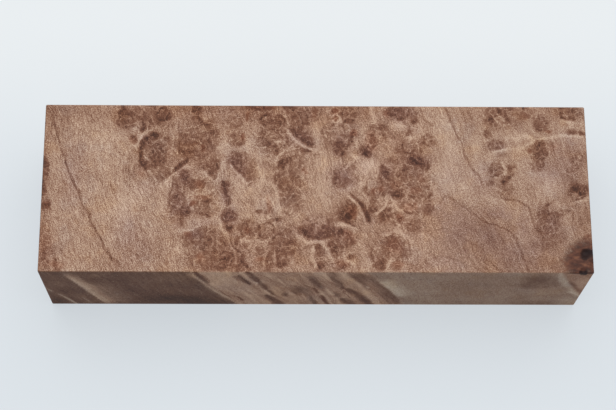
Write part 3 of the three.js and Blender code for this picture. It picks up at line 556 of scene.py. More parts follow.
# The front face: x along it and z up from the bottom. Soft patches, painted in order. Tones below zero are
# lighter than the plain wood.
FRONT_PATCHES: tuple[tuple[float, ...], ...] = (
    # Dark wood on the left.
    (-40.0, 21.0, 7.0, 5.0, 0.62), (-34.5, 22.0, 4.0, 4.4, 0.46), (-52.0, 24.5, 2.6, 2.0, 0.52),
    (-35.0, 15.5, 5.5, 3.6, 0.66), (-50.0, 20.0, 5.0, 3.6, 0.80), (-45.0, 12.5, 5.0, 2.6, 0.86, -35),
    (-34.0, 5.0, 11.0, 4.4, 0.98), (-27.0, 2.0, 6.5, 2.8, 1.00), (-62.0, 23.0, 2.8, 5.0, 0.68),
    (-61.5, 17.5, 2.2, 2.6, 0.52), (-60.5, 11.5, 1.8, 1.9, 0.84), (-63.0, 3.0, 2.6, 3.6, 0.94),
    (-57.3, 6.0, 5.5, 2.0, 0.52, -70), (-53.6, 3.0, 3.0, 0.9, 0.68, -70),
    # Streaked wood in the middle.
    (-22.5, 20.0, 3.6, 8.0, -0.24), (-17.5, 9.5, 4.5, 6.5, -0.18), (-10.0, 21.5, 2.4, 6.0, -0.04),
    (-29.3, 25.0, 2.6, 0.9, 0.16, -68), (-9.0, 14.0, 1.0, 2.2, -0.18), (-7.3, 9.0, 0.9, 1.7, 0.56),
    (-5.9, 9.6, 0.6, 1.5, -0.24), (-3.6, 13.0, 4.4, 2.1, 0.64, -78), (-3.8, 5.0, 1.6, 3.0, -0.20),
    (-0.2, 19.5, 5.8, 1.1, 0.72, -74), (5.4, 9.2, 1.3, 2.2, 0.44), (9.9, 24.0, 4.6, 1.5, 0.64, -70),
    (15.3, 25.0, 1.5, 2.4, 0.14),
    # Plain wood on the right.
    (25.0, 12.0, 6.0, 9.0, 0.02), (25.0, 3.0, 4.0, 3.0, 0.12), (37.0, 16.0, 8.0, 9.0, 0.20),
    (53.0, 22.0, 3.8, 5.6, 0.62), (51.0, 17.6, 2.4, 2.8, 0.48), (56.0, 18.6, 2.2, 2.8, 0.46),
    (51.0, 7.0, 3.0, 3.0, 0.26), (55.0, 1.6, 5.5, 2.4, 0.38), (55.5, 11.0, 3.6, 1.7, 0.02, -18),
    (63.6, 19.5, 1.5, 4.8, -0.16), (62.4, 3.5, 2.8, 3.6, -0.04),
)

# Bands on the front face, dark and light, painted in order over the patches.
FRONT_BANDS: tuple[Stroke, ...] = (
    Stroke(((-57.6, 20.0), (-56.0, 15.5), (-54.6, 10.5), (-53.0, 5.0), (-51.4, -1.0)), 0.3, 0.26, 13.0),
    Stroke(((-60.4, 28.5), (-57.6, 20.0), (-55.2, 12.0), (-53.0, 5.0), (-51.8, 1.5), (-51.2, -1.0)),
           0.3, -0.30, 4.2),
    Stroke(((-29.3, 28.5), (-28.0, 23.0), (-26.0, 17.0), (-24.0, 12.0), (-22.0, 7.5), (-20.5, 4.0),
            (-18.6, -0.5)), 0.40, -0.16),
    Stroke(((-28.6, 29.0), (-27.1, 23.8), (-25.5, 19.0)), 0.60, 0.74),
    Stroke(((-19.6, 25.0), (-18.4, 22.3), (-17.1, 19.6)), 0.60, 0.42),
    Stroke(((-18.3, 25.4), (-17.0, 21.6), (-15.6, 17.8)), 0.55, 0.84),
    Stroke(((-17.9, 28.5), (-16.3, 22.5), (-14.0, 17.0), (-11.0, 10.0), (-8.6, 5.0),
            (-6.6, 0.0)), 0.40, -0.26),
    Stroke(((-16.4, 29.0), (-15.0, 24.0), (-13.6, 19.6)), 0.95, 0.76),
    Stroke(((-13.5, 18.8), (-12.7, 16.2), (-11.8, 13.4)), 0.80, 0.66),
    Stroke(((-12.2, 14.5), (-11.0, 11.5), (-9.8, 8.3)), 0.36, 0.52),
    Stroke(((-11.8, 8.5), (-10.0, 4.5), (-8.4, 0.5), (-7.8, -1.0)), 1.05, 0.80),
    Stroke(((-2.4, 11.0), (-1.4, 8.0), (-0.2, 3.0), (0.3, 0.5)), 0.75, 0.62),
    Stroke(((1.2, 29.0), (2.3, 24.5), (3.6, 20.5)), 0.75, -0.24),
    Stroke(((2.4, 14.6), (3.4, 11.5), (4.6, 8.4)), 0.50, -0.24),
    Stroke(((3.0, 29.0), (4.2, 23.5), (5.4, 19.0), (6.6, 14.4)), 0.95, 0.52),
    Stroke(((6.8, 6.2), (8.0, 3.4), (9.8, -0.5)), 0.95, 0.64),
    Stroke(((7.8, 14.4), (9.8, 10.4), (12.0, 5.4), (14.4, -0.5)), 1.05, 0.80),
    Stroke(((12.4, 29.0), (13.3, 24.0), (15.0, 20.0), (17.5, 14.0), (19.5, 9.0), (20.5, 6.0), (22.2, -1.0)),
           0.3, 0.56, -6.6),
    Stroke(((5.9, 29.0), (7.2, 24.0), (9.0, 19.0), (11.0, 13.6), (13.0, 9.0), (14.6, 5.0), (16.4, -1.0)),
           0.90, -0.32),
    Stroke(((13.9, 22.8), (15.0, 20.0), (17.5, 14.0), (19.5, 9.0), (20.5, 6.0)), 0.3, -0.44, 5.6),
    Stroke(((57.0, 28.0), (59.0, 21.5), (61.0, 17.0), (64.0, 10.0)), 0.95, -0.20),
    Stroke(((60.5, 20.8), (62.4, 16.4), (64.8, 11.6)), 0.50, 0.50),
    Stroke(((61.6, 13.0), (63.2, 10.6), (65.0, 8.0)), 0.50, -0.38),
)
# Thin dark cracks on the front face.
FRONT_LINES: tuple[Stroke, ...] = (
    Stroke(((-27.0, 26.4), (-26.0, 23.0), (-24.9, 19.6)), 0.20, 0.50),
    Stroke(((-23.1, 12.8), (-21.9, 9.4), (-20.4, 5.8)), 0.22, 0.66),
    Stroke(((-18.9, 7.6), (-18.3, 5.8), (-17.5, 3.6)), 0.36, 1.00),
    Stroke(((-19.7, 8.4), (-19.3, 7.2), (-18.8, 5.8)), 0.20, 0.55),
    Stroke(((-0.6, 15.4), (0.1, 12.8), (1.0, 10.0)), 0.36, 1.00),
    Stroke(((1.7, 8.4), (2.4, 4.2), (3.4, 0.2)), 0.46, 1.00),
    Stroke(((6.2, 16.4), (7.2, 13.8), (8.3, 11.2)), 0.24, 0.95),
    Stroke(((5.6, 15.8), (6.5, 13.0), (7.4, 10.8)), 0.20, 0.75),
    Stroke(((6.5, 12.2), (7.8, 9.0), (9.0, 5.8)), 0.20, 0.64),
    Stroke(((62.2, 28.8), (62.4, 28.0), (62.7, 27.0)), 0.50, 1.00),
    Stroke(((-5.2, 12.0), (-4.4, 8.0), (-3.4, 2.0)), 0.20, 0.36),
)
# Light veins on the front face.
FRONT_VEINS: tuple[Stroke, ...] = (
    Stroke(((-65.4, 15.6), (-64.4, 13.4), (-63.3, 11.0)), 0.24, 0.50),
    Stroke(((-62.4, 9.8), (-61.4, 7.2), (-60.2, 4.2), (-58.6, -0.5)), 0.28, 0.75),
    Stroke(((-57.2, 7.2), (-56.2, 4.4), (-54.8, 1.0)), 0.22, 0.32),
    Stroke(((-29.3, 27.5), (-28.0, 23.0), (-26.0, 17.0), (-24.0, 12.0), (-22.0, 7.5),
            (-20.5, 4.0)), 0.26, 0.45),
    Stroke(((-17.8, 27.0), (-16.3, 22.5), (-14.0, 17.0), (-11.0, 10.0)), 0.26, 0.60),
    Stroke(((1.3, 10.8), (1.65, 10.0), (1.8, 9.2)), 0.40, 1.00),
    Stroke(((12.4, 16.2), (12.7, 15.4), (12.9, 14.7)), 0.36, 0.80),
)
# A red streak low in the middle of the front face.
FRONT_STREAK = Eye(2.4, 4.4, 3.4, 0.6, 0.7, -76.0, EyeKind.RED)


def ease(low: float, high: float, value: Array) -> Array:
    """Smooth step: 0 below low, 1 above high, with level ends.

    Args:
        low: value where the step starts.
        high: value where the step ends. It may be below low, which turns the step round.
        value: numbers to step.

    Returns:
        The stepped numbers, from 0 to 1.
    """
    part = np.clip((value - low) / (high - low), 0.0, 1.0)
    return part * part * (3.0 - 2.0 * part)


def linear(red: int, green: int, blue: int) -> Colour:
    """Linear light of a screen colour.

    Args:
        red: red from 0 to 255.
        green: green from 0 to 255.
        blue: blue from 0 to 255.

    Returns:
        The three shares of linear light, from 0 to 1.
    """
    shares = np.array((red, green, blue)) / 255.0
    light = np.where(shares <= 0.04045, shares / 12.92, ((shares + 0.055) / 1.055) ** 2.4)
    return tuple(float(x) for x in light)


@dataclass(frozen=True)
class LatticeNoise:
    """Smooth seeded noise from -1 to 1: random values on a cubic lattice, blended by eased weights."""

    seed: int
    pitch: float
    cells: int = 48

    def __call__(self, points: Array) -> Array:
        """Noise at each point.

        Args:
            points: places in millimetres, one row each.

        Returns:
            One value for each row.
        """
        values = np.random.default_rng(self.seed).uniform(-1.0, 1.0, (self.cells,) * 3)
        scaled = points / self.pitch
        base = np.floor(scaled).astype(int)
        weight = ease(0.0, 1.0, scaled - base)
        total = np.zeros(len(points))
        for corner in itertools.product((0, 1), repeat=3):
            share = np.prod(np.where(corner, weight, 1.0 - weight), axis=1)
            total += share * values[tuple(((base + corner) % self.cells).T)]
        return total


def curved(path: Path, steps: int = 5) -> Array:
    """A path with its corners rounded, as a Catmull-Rom curve through the same points.

    Args:
        path: the points to pass through.
        steps: pieces that each stretch is cut into.

    Returns:
        The finer points, one row each.
    """
    rows = np.asarray(path, float)
    padded = np.vstack((2 * rows[0] - rows[1], rows, 2 * rows[-1] - rows[-2]))
    part = np.linspace(0.0, 1.0, steps, endpoint=False)[:, None, None]
    before, start, end, after = padded[:-3], padded[1:-2], padded[2:-1], padded[3:]
    cubic = 3 * start - before - 3 * end + after
    square = 2 * before - 5 * start + 4 * end - after
    fine = 0.5 * (2 * start + (end - before) * part + square * part**2 + cubic * part**3)
    return np.vstack((fine.transpose(1, 0, 2).reshape(-1, 2), rows[-1:]))


@dataclass
class FigureSheet:
    """Marks gathered on a set of points that share two face coordinates, in millimetres."""

    across: Array
    along: Array
    brown: Array = field(init=False)
    pale: Array = field(init=False)
    red: Array = field(init=False)
    lace: Array = field(init=False)
    patch: Array = field(init=False)
    carve: Array = field(init=False)
    grey: Array = field(init=False)
    line_offset: Array = field(init=False)
    line_strength: Array = field(init=False)
    vein_offset: Array = field(init=False)
    vein_strength: Array = field(init=False)

    # How much of an eye's tone shows.
    EYE_DEPTH: ClassVar[float] = 0.9
    # Where an eye's border ends and starts, in half sizes, and how fast clouds and pale eyes thin out.
    EYE_BORDER: ClassVar[Span] = (1.6, 0.5)
    CLOUD_FALL: ClassVar[float] = 0.9
    PALE_FALL: ClassVar[float] = 1.3
    # Marks join as the root of a sum of powers, which is a soft maximum.
    JOIN_POWER: ClassVar[float] = 4.0
    # A line's strength fades out at this distance from it, where its signed offset may change sides.
    LINE_REACH: ClassVar[float] = 1.1
    # Offset of a point that no line is near, in half widths.
    FAR_OFFSET: ClassVar[float] = 9.0
    # How much a band narrows at its ends, and where its border starts and ends, in half widths.
    BAND_TAPER: ClassVar[float] = 0.55
    BAND_INNER: ClassVar[float] = 0.45
    BAND_OUTER: ClassVar[float] = 1.5
    PAINTED_OUTER: ClassVar[float] = 1.7
    # How far a light vein thins the patches under it, and how much lighter it makes the wood.
    VEIN_CUT: ClassVar[float] = 0.8
    VEIN_LIGHT: ClassVar[float] = 0.14

    def __post_init__(self) -> None:
        """Starts every mark empty."""
        marks = ("brown", "pale", "red", "lace", "patch", "carve", "grey")
        for name in (*marks, "line_strength", "vein_strength"):
            setattr(self, name, np.zeros_like(self.across))
        for name in ("line_offset", "vein_offset"):
            setattr(self, name, np.full_like(self.across, self.FAR_OFFSET))

    def around(self, eye: Eye, reach: float) -> tuple[Array, Array, Array]:
        """Points near an eye, and where they lie in it.

        Args:
            eye: the eye or patch.
            reach: how far from its middle to look.

        Returns:
            Which points are near, and their places along and across the eye in half sizes.
        """
        near = np.hypot(self.across - eye.x, self.along - eye.y) < reach
        turn = math.radians(eye.turn)
        right, up = self.across[near] - eye.x, self.along[near] - eye.y
        run = (math.cos(turn) * right + math.sin(turn) * up) / eye.half_long
        side = (math.cos(turn) * up - math.sin(turn) * right) / eye.half_wide
        return near, run, side

    def add_eye(self, eye: Eye, presence: Array | float = 1.0) -> None:
        """Adds one eye, by how far each point lies from its middle in half sizes.

        Args:
            eye: the eye to add.
            presence: how strong it is at each point.
        """
        near, run, side = self.around(eye, eye.reach)
        distance = np.hypot(run, side)
        solid = ease(*self.EYE_BORDER, distance)
        cloud = np.exp(-self.CLOUD_FALL * distance**2)
        shares = {
            EyeKind.SOLID: solid,
            EyeKind.RED: solid,
            EyeKind.RING: ease(1.4, 0.9, distance) * (0.25 + 0.75 * ease(0.35, 0.72, distance)),
            EyeKind.SHADED: ease(1.15, 0.8, distance) * (0.55 + 0.45 * ease(-0.5, 0.9, run)),
            EyeKind.CLOUD: cloud,
            EyeKind.RED_CLOUD: cloud,
            EyeKind.PALE: np.exp(-self.PALE_FALL * distance**2),
        }
        strength = np.broadcast_to(presence, self.across.shape)[near]
        share = shares[eye.kind] * self.EYE_DEPTH * eye.tone * strength
        if eye.kind is EyeKind.PALE:
            self.pale[near] = np.maximum(self.pale[near], share)
            return
        self.brown[near] += share**self.JOIN_POWER
        if eye.kind in (EyeKind.RED, EyeKind.RED_CLOUD):
            self.red[near] = np.maximum(self.red[near], share)

    def add_patch(self, eye: Eye, presence: Array | float, border: Span) -> None:
        """Paints one patch with a soft border over those before it.

        Args:
            eye: the patch's outline and tone.
            presence: how strong it is at each point.
            border: where the border ends and starts, in half sizes.
        """
        near, run, side = self.around(eye, border[0] * max(eye.half_long, eye.half_wide))
        strength = np.broadcast_to(presence, self.across.shape)[near]
        share = ease(*border, np.hypot(run, side)) * strength
        self.patch[near] += share * (eye.tone - self.patch[near])

    def offsets(self, stroke: Stroke) -> tuple[Array, Array, Array]:
        """Where points lie beside a stroke.

        Args:
            stroke: the stroke to measure from.

        Returns:
            The rows that are near it, their signed distance from it, and their share of the way along it.
        """
        path = curved(stroke.path)
        margin = self.LINE_REACH + 2.2 * stroke.half_width + abs(stroke.fade)
        low, high = path.min(0) - margin, path.max(0) + margin
        inside = (self.across > low[0]) & (self.across < high[0])
        rows = np.flatnonzero(inside & (self.along > low[1]) & (self.along < high[1]))
        here = np.stack((self.across[rows], self.along[rows]), axis=1)
        best = np.full(len(rows), np.inf)
        signed = np.zeros(len(rows))
        way = np.zeros(len(rows))
        lengths = np.concatenate(((0.0,), np.cumsum(np.hypot(*np.diff(path, axis=0).T))))
        for index, (start, end) in enumerate(zip(path[:-1], path[1:])):
            step = end - start
            part = np.clip((here - start) @ step / (step @ step), 0.0, 1.0)
            gap = here - start - part[:, None] * step
            distance = np.hypot(gap[:, 0], gap[:, 1])
            closer = distance < best
            best[closer] = distance[closer]
            side = np.sign(step[0] * gap[:, 1] - step[1] * gap[:, 0])
            signed[closer] = (distance * np.where(side == 0, 1.0, side))[closer]
            run = lengths[index] + part * (lengths[index + 1] - lengths[index])
            way[closer] = (run / lengths[-1])[closer]
        return rows, signed, way

    def band_share(self, stroke: Stroke, edge: float) -> tuple[Array, Array]:
        """A soft band that narrows to its ends.

        Args:
            stroke: the band.
            edge: where its border ends, in half widths.

        Returns:
            The rows that it touches, and its share of them.
        """
        rows, signed, way = self.offsets(stroke)
        width = stroke.half_width * (1.0 - self.BAND_TAPER * np.abs(2.0 * way - 1.0) ** 3)
        return rows, ease(edge, self.BAND_INNER, np.abs(signed) / width)

    def add_band(self, stroke: Stroke, presence: Array) -> None:
        """Joins a dark band with the other dark marks.

        Args:
            stroke: the band to add.
            presence: how strong it is at each point.
        """
        rows, share = self.band_share(stroke, self.BAND_OUTER)
        self.brown[rows] += (share * stroke.tone * presence[rows]) ** self.JOIN_POWER

    def paint_band(self, stroke: Stroke, presence: Array | float = 1.0) -> None:
        """Paints a band over the patches before it.

        Args:
            stroke: the band to paint.
            presence: how strong it is at each point.
        """
        if stroke.fade:
            rows, signed, way = self.offsets(stroke)
            out = signed * math.copysign(1.0, stroke.fade)
            share = ease(-0.3, 0.2, out) * ease(abs(stroke.fade), 0.3, out)
            share = share * ease(0.0, 0.25, way) * ease(1.0, 0.85, way)
        else:
            rows, share = self.band_share(stroke, self.PAINTED_OUTER)
        share = share * np.broadcast_to(presence, self.across.shape)[rows]
        self.patch[rows] += share * (stroke.tone - self.patch[rows])

    def add_line(self, stroke: Stroke, presence: Array | float = 1.0, pale: bool = False) -> None:
        """Adds a thin line as its signed offset in half widths, which the finish draws sharply.

        Args:
            stroke: the line to add.
            presence: how strong it is at each point.
            pale: true for a light vein.
        """
        rows, signed, way = self.offsets(stroke)
        ends = ease(0.0, 0.12, way) * ease(1.0, 0.88, way) * 0.75 + 0.25
        strength = np.broadcast_to(presence, self.across.shape)[rows]
        share = stroke.tone * strength * ends * ease(self.LINE_REACH, 0.55, np.abs(signed))
        names = ("vein_offset", "vein_strength") if pale else ("line_offset", "line_strength")
        offset, kept = (getattr(self, name) for name in names)
        if pale:
            reach = 0.3 + 1.3 * stroke.half_width
            soft = stroke.tone * strength * ends * ease(1.0, 0.15, np.abs(signed) / reach)
            self.carve[rows] = np.maximum(self.carve[rows], soft)
        stronger = share > kept[rows]
        offset[rows[stronger]] = (signed / stroke.half_width)[stronger]
        kept[rows[stronger]] = share[stronger]

    def joined(self) -> Array:
        """The depth of brown: the patches, carved by the light veins and joined with the dark marks.

        Returns:
            One depth for each point.
        """
        ground = np.maximum(self.patch * (1.0 - self.VEIN_CUT * self.carve), 0.0)
        dark = (self.brown + ground**self.JOIN_POWER) ** (1.0 / self.JOIN_POWER)
        return dark + np.minimum(self.patch, 0.0) - self.VEIN_LIGHT * self.carve

    def clusters(self) -> Array:
        """How much each point belongs to a cluster of eyes."""
        return ease(0.05, 0.3, self.patch)


@dataclass
class BurlFigure:
    """The figure of the wood through the whole block, worked out at points of its surface.

    size is the block's length, width and height. points are places on it in millimetres from the middle of
    its bottom, one row each, and normals the outward directions there. depth is how far each point lies below
    the top face, and column is where the eye column through it meets that face, as X and Y.
    """

    size: Array
    points: Array
    normals: Array
    depth: Array = field(init=False)
    column: Array = field(init=False)
    fray: Array = field(init=False)
    # How far the eye columns lean along X and Y for each millimetre down.
    lean_x: float = 0.36
    lean_y: float = -0.10
    # Angle of the fibres on the top face from straight across it, in degrees.
    fibre_turn: float = 21.0
    # Middle and half sizes of the bark pocket on the top face.
    bark_middle: tuple[float, float] = (63.4, -18.3)
    bark_half: tuple[float, float] = (6.0, 6.2)
    # Where the burl gives way to plain wood on the right and on the left of the top face.
    plain_right: Span = (22.0, 34.0)
    plain_left: Span = (-32.0, -42.0)
    # Depths where an eye or patch that shows on the top may end, and where the eye below it may start.
    eye_ends: Span = (7.0, 18.0)
    eye_starts: Span = (4.0, 12.0)
    patch_ends: Span = (9.0, 22.0)
    # How far the lower ones stand aside, and how much a lower eye changes in size and turns.
    eye_shift: float = 2.4
    patch_shift: float = 3.0
    eye_sizes: Span = (0.75, 1.35)
    eye_turn: float = 60.0
    # Where the borders of patches end and start, in half sizes, on the top and on the front.
    patch_border: Span = (1.3, 0.7)
    front_border: Span = (1.6, 0.2)
    # How far the front's parts lean for each millimetre down, where they meet, and the tones of the
    # dark, the streaked and the plain part.
    front_lean: float = 0.37
    front_dark_end: Span = (-29.3, -28.5)
    front_plain_start: Span = (10.6, 13.4)
    front_tones: tuple[float, float, float] = (0.69, -0.06, 0.12)
    # The least mean radius of an eye that bends the fibres.
    bend_radius: float = 1.2
    seed: int = 7

    def __post_init__(self) -> None:
        """Finds each point's depth and its column, frayed a little."""
        self.depth = self.size[2] - self.points[:, 2]
        self.fray = self.jitter()
        self.column = self.columns() + self.fray

    def noise(self, number: int, pitch: float, points: Array) -> Array:
        """One of the figure's noises, by its number."""
        return LatticeNoise(self.seed + number, pitch)(points)

    def gap(self, x: float, y: float, half_x: float, half_y: float) -> Array:
        """Squared distance of each column from the middle of a cloud, in half sizes."""
        return ((self.column[:, 0] - x) / half_x) ** 2 + ((self.column[:, 1] - y) / half_y) ** 2

    def fields(self) -> dict[str, Array]:
        """Every attribute that the finish reads.

        Returns:
            Attribute names with one row for each point.
        """
        x, _, z = self.points.T
        front = ease(0.35, 0.85, -self.normals[:, 1])
        flat = ease(0.45, 0.9, np.abs(self.normals[:, 2]))
        wood = self.column_sheet()
        wood.lace = wood.clusters()
        face = self.front_sheet(x + 0.4 * self.fray[:, 0], z + self.fray[:, 1])
        blend = {
            name: (1.0 - front) * getattr(wood, name) + front * getattr(face, name)
            for name in ("pale", "red", "lace")
        }
        right_part = ease(*self.plain_right, self.column[:, 0])
        outside = 0.2 * right_part + 0.07 * ease(*self.plain_left, self.column[:, 0])
        blend["grey"] = front * face.grey + (1.0 - front) * outside
        on_front = front > 0.5
        lines = {
            name: np.where(on_front, getattr(face, name), getattr(wood, name))
            for name in ("line_offset", "line_strength", "vein_offset", "vein_strength")
        }
        side = (1.0 - flat) * (1.0 - front)
        brown = (1.0 - front) * wood.joined() + front * face.joined()
        brown += side * np.maximum(self.side_shade() - brown, 0.0)
        eddy, ringed = self.rosettes()
        _, streaked, plain = self.front_parts(x, z)
        smooth = front * (0.8 - 0.5 * streaked * (1.0 - plain))
        return {
            "brown": brown,
            "broad": (1.0 - front) * self.broad(),
            "eddy": eddy,
            "ringed": (1.0 - front) * ringed,
            "char": self.char(),
            "mauve": (1.0 - front) * self.mauve(),
            "streak": (1.0 - 0.55 * right_part) * (1.0 - 0.5 * wood.lace) * (1.0 - smooth),
            "speckle": (0.76 - 0.06 * right_part) * (1.0 - 0.35 * front),
            "ripple": 0.7 * (1.0 - front * (0.4 + 0.4 * ease(10.0, 22.0, self.column[:, 0]))),
            "sawn": 1.0 - ease(0.6, 0.9, self.normals[:, 2]),
            "bark": self.bark() * (1.0 - front * ease(0.2, 0.9, self.depth)),
            "edge": self.edge(),
            "grain": self.grain(),
            **blend,
            **lines,
        }

    def rosettes(self) -> tuple[Array, Array]:
        """Ringed burls: the distance from the middle of the burl whose edge is relatively nearest.

        Returns:
            That distance, and how strongly the rings show.
        """
        best = np.full(len(self.column), 9.0)
        eddy = np.zeros(len(self.column))
        for x, y, radius in TOP_ROSETTES:
            gap = np.hypot(self.column[:, 0] - x, self.column[:, 1] - y)
            nearer = gap / radius < best
            best = np.where(nearer, gap / radius, best)
            eddy = np.where(nearer, gap, eddy)
        return eddy, ease(1.35, 0.85, best) * (0.4 + 0.6 * ease(16.0, 6.0, self.depth))

    def mauve(self) -> Array:
        """Mauve-grey clouds in the plain wood.

        Returns:
            One share for each point.
        """
        total = np.zeros(len(self.column))
        for *cloud, share in TOP_MAUVES:
            total = np.maximum(total, share * np.exp(-self.gap(*cloud)))
        return total

    def char(self) -> Array:
        """The charred cores of the bark pocket, just under the top face.

        Returns:
            One share for each point.
        """
        total = np.zeros(len(self.column))
        for core in BARK_CORES:
            total = np.maximum(total, ease(1.35, 0.6, np.sqrt(self.gap(*core))))
        return total * ease(2.2, 0.6, self.depth)

    def broad(self) -> Array:
        """Broad soft tones of the wood: the listed ones and two scales of noise.

        Returns:
            How much darker each point is.
        """
        total = np.zeros(len(self.column))
        for *cloud, tone in TOP_TONES:
            total += tone * np.exp(-self.gap(*cloud))
        place = np.column_stack((self.column, 0.3 * self.depth))
        return total + 0.11 * self.noise(50, 8.0, place) + 0.10 * self.noise(51, 3.2, place)

    def jitter(self) -> Array:
        """Small wanderings that fray the outlines of the marks, from two scales of noise.

        Returns:
            Shifts along the two face coordinates, one row each.
        """
        shifts = [
            0.36 * self.noise(i, 2.3, self.points) + 0.22 * self.noise(10 + i, 0.95, self.points)
            for i in range(2)
        ]
        return np.stack(shifts, axis=1)

    def columns(self) -> Array:
        """Where the eye column through each point meets the top face: the point slid up along the lean.

        Returns:
            X and Y on the top face, one row each.
        """
        sway = np.minimum(self.depth / 9.0, 1.0)
        x = self.points[:, 0] - self.lean_x * self.depth + 2.2 * sway * self.noise(20, 12.0, self.points)
        y = self.points[:, 1] - self.lean_y * self.depth + 2.2 * sway * self.noise(21, 12.0, self.points)
        return np.stack((x, y), axis=1)

    def column_sheet(self) -> FigureSheet:
        """The eyes as columns: those seen on the top run down for a while, and others start below them.

        Returns:
            The marks at every point.
        """
        sheet = FigureSheet(self.column[:, 0], self.column[:, 1])
        draw = np.random.default_rng(self.seed)
        for kind, rows in TOP_EYES.items():
            for row in rows:
                eye = Eye(*row, kind=kind)
                last = draw.uniform(*self.eye_ends)
                sheet.add_eye(eye, ease(last, 0.6 * last, self.depth))
                shift = draw.normal(0.0, self.eye_shift, 2)
                size = draw.uniform(*self.eye_sizes)
                first = draw.uniform(*self.eye_starts)
                turn = eye.turn + draw.uniform(-self.eye_turn, self.eye_turn)
                lower = Eye(
                    eye.x + shift[0], eye.y + shift[1], size * eye.half_long, size * eye.half_wide, eye.tone,
                    turn, kind,
                )
                sheet.add_eye(lower, ease(first, first + 5.0, self.depth))
        for row in TOP_PATCHES:
            patch = Eye(*row)
            last = draw.uniform(*self.patch_ends)
            sheet.add_patch(patch, ease(last, 0.5 * last, self.depth), self.patch_border)
            shift = draw.normal(0.0, self.patch_shift, 2)
            lower = Eye(patch.x + shift[0], patch.y + shift[1], patch.half_long, patch.half_wide, patch.tone)
            sheet.add_patch(lower, ease(0.5 * last, last, self.depth), self.patch_border)
        near_top = ease(14.0, 6.0, self.depth)
        for stroke in TOP_WEDGES:
            sheet.paint_band(stroke, near_top)
        for stroke in TOP_BANDS:
            sheet.add_band(stroke, near_top)
        for stroke in TOP_LINES:
            sheet.add_line(stroke, 0.35 + 0.65 * near_top)
        for stroke in TOP_VEINS:
            sheet.add_line(stroke, 0.25 + 0.75 * near_top, pale=True)
        return sheet

    def front_parts(self, x: Array, z: Array) -> tuple[Array, Array, Array]:
        """The parts of the front face, which lean with the columns.

        Args:
            x: place along the face.
            z: height above the bottom.

        Returns:
            The place slid up to the top edge, the share of streaked or plain wood, and that of plain wood.
        """
        slid = x - self.front_lean * (self.size[2] - z)
        return slid, ease(*self.front_dark_end, slid), ease(*self.front_plain_start, slid)

    def front_sheet(self, x: Array, z: Array) -> FigureSheet:
        """The front face, which cuts the columns lengthwise: dark grey wood, then streaks, then plain wood.

        Args:
            x: place along the face.
            z: height above the bottom.

        Returns:
            The marks at every point.
        """
        sheet = FigureSheet(x, z)
        slid, streaked, plain = self.front_parts(x, z)
        dark, light, even = self.front_tones
        sheet.patch += dark * (1.0 - streaked) + light * streaked * (1.0 - plain) + even * plain
        for row in FRONT_PATCHES:
            sheet.add_patch(Eye(*row), 1.0, self.front_border)
        for stroke in FRONT_BANDS:
            sheet.paint_band(stroke)
        thin = self.noise(30, 1.0, np.stack((slid / 0.8, z / 9.0, 0 * x), axis=1))
        fine = self.noise(32, 1.0, np.stack((slid / 0.35, z / 6.0, 0 * x), axis=1))
        smoke = self.noise(31, 1.0, np.stack((x / 5.0, z / 3.0, 0 * x), axis=1))
        middle = streaked * (1.0 - plain)
        sheet.patch += (0.04 + 0.20 * middle) * thin + (0.05 + 0.07 * middle) * fine + 0.07 * smoke
        for stroke in FRONT_LINES:
            sheet.add_line(stroke)
        for stroke in FRONT_VEINS:
            sheet.add_line(stroke, pale=True)
        sheet.add_eye(FRONT_STREAK)
        ending = ease(57.0, 58.6, slid)
        sheet.red = np.maximum(sheet.red, 0.3 * middle + 0.3 * ending)
        shaded = (1.0 - plain) * (1.0 - 0.2 * streaked) * ease(0.05, 0.5, sheet.patch)
        sheet.grey = plain * (0.7 + 0.3 * ease(0.25, 0.6, sheet.patch)) * (1.0 - 0.8 * ending) + shaded
        return sheet

    def side_shade(self) -> Array:
        """Broad dark and light bands on the back and the ends, which lean with the columns.

        Returns:
            The least depth of brown at every point.
        """
        wide = self.noise(40, 1.0, np.column_stack((self.column / 17.0, self.depth / 40.0)))
        thin = self.noise(41, 1.0, np.column_stack((self.column / 1.1, self.depth / 9.0)))
        return 0.22 + 0.36 * ease(0.0, 0.45, wide) + 0.08 * thin

    def grain(self) -> Array:
        """Fibre coordinates: across, along and down, which bend round the larger eyes.

        Each eye pushes the fibres aside as a round post does in a stream: the offset from its middle, times
        its radius squared, over the distance squared.

        Returns:
            Three coordinates in millimetres, one row each.
        """
        turn = math.radians(self.fibre_turn)
        across = math.cos(turn) * self.column[:, 0] + math.sin(turn) * self.column[:, 1]
        along = math.sin(turn) * self.column[:, 0] - math.cos(turn) * self.column[:, 1]
        place = np.column_stack((self.column, 0.3 * self.depth))
        wave = 1.5 * self.noise(60, 9.0, place) + 0.45 * self.noise(61, 3.0, place)
        bent_across, bent_along = across + wave, along.copy()
        for kind in (EyeKind.SOLID, EyeKind.RING, EyeKind.SHADED):
            for row in TOP_EYES[kind]:
                eye = Eye(*row, kind=kind)
                radius = 0.5 * (eye.half_long + eye.half_wide)
                if radius < self.bend_radius:
                    continue
                right = across - (math.cos(turn) * eye.x + math.sin(turn) * eye.y)
                up = along - (math.sin(turn) * eye.x - math.cos(turn) * eye.y)
                pull = 0.8 * radius**2 / (right**2 + up**2 + 0.6 * radius**2)
                bent_across -= pull * right
                bent_along += pull * up
        return np.stack((bent_across, bent_along, self.depth), axis=1)

    def bark(self) -> Array:
        """How much of each point is bark: 1 deep in the pocket, falling to 0 at its ragged border.

        Returns:
            One value for each point.
        """
        x = (self.column[:, 0] - self.bark_middle[0]) / self.bark_half[0]
        y = (self.column[:, 1] - self.bark_middle[1]) / self.bark_half[1]
        corner = 0.10 * np.maximum(-x, 0.0) * np.maximum(y, 0.0)
        return ease(1.30, 0.55, np.hypot(x, y) + corner) * ease(2.4, 0.7, self.depth)

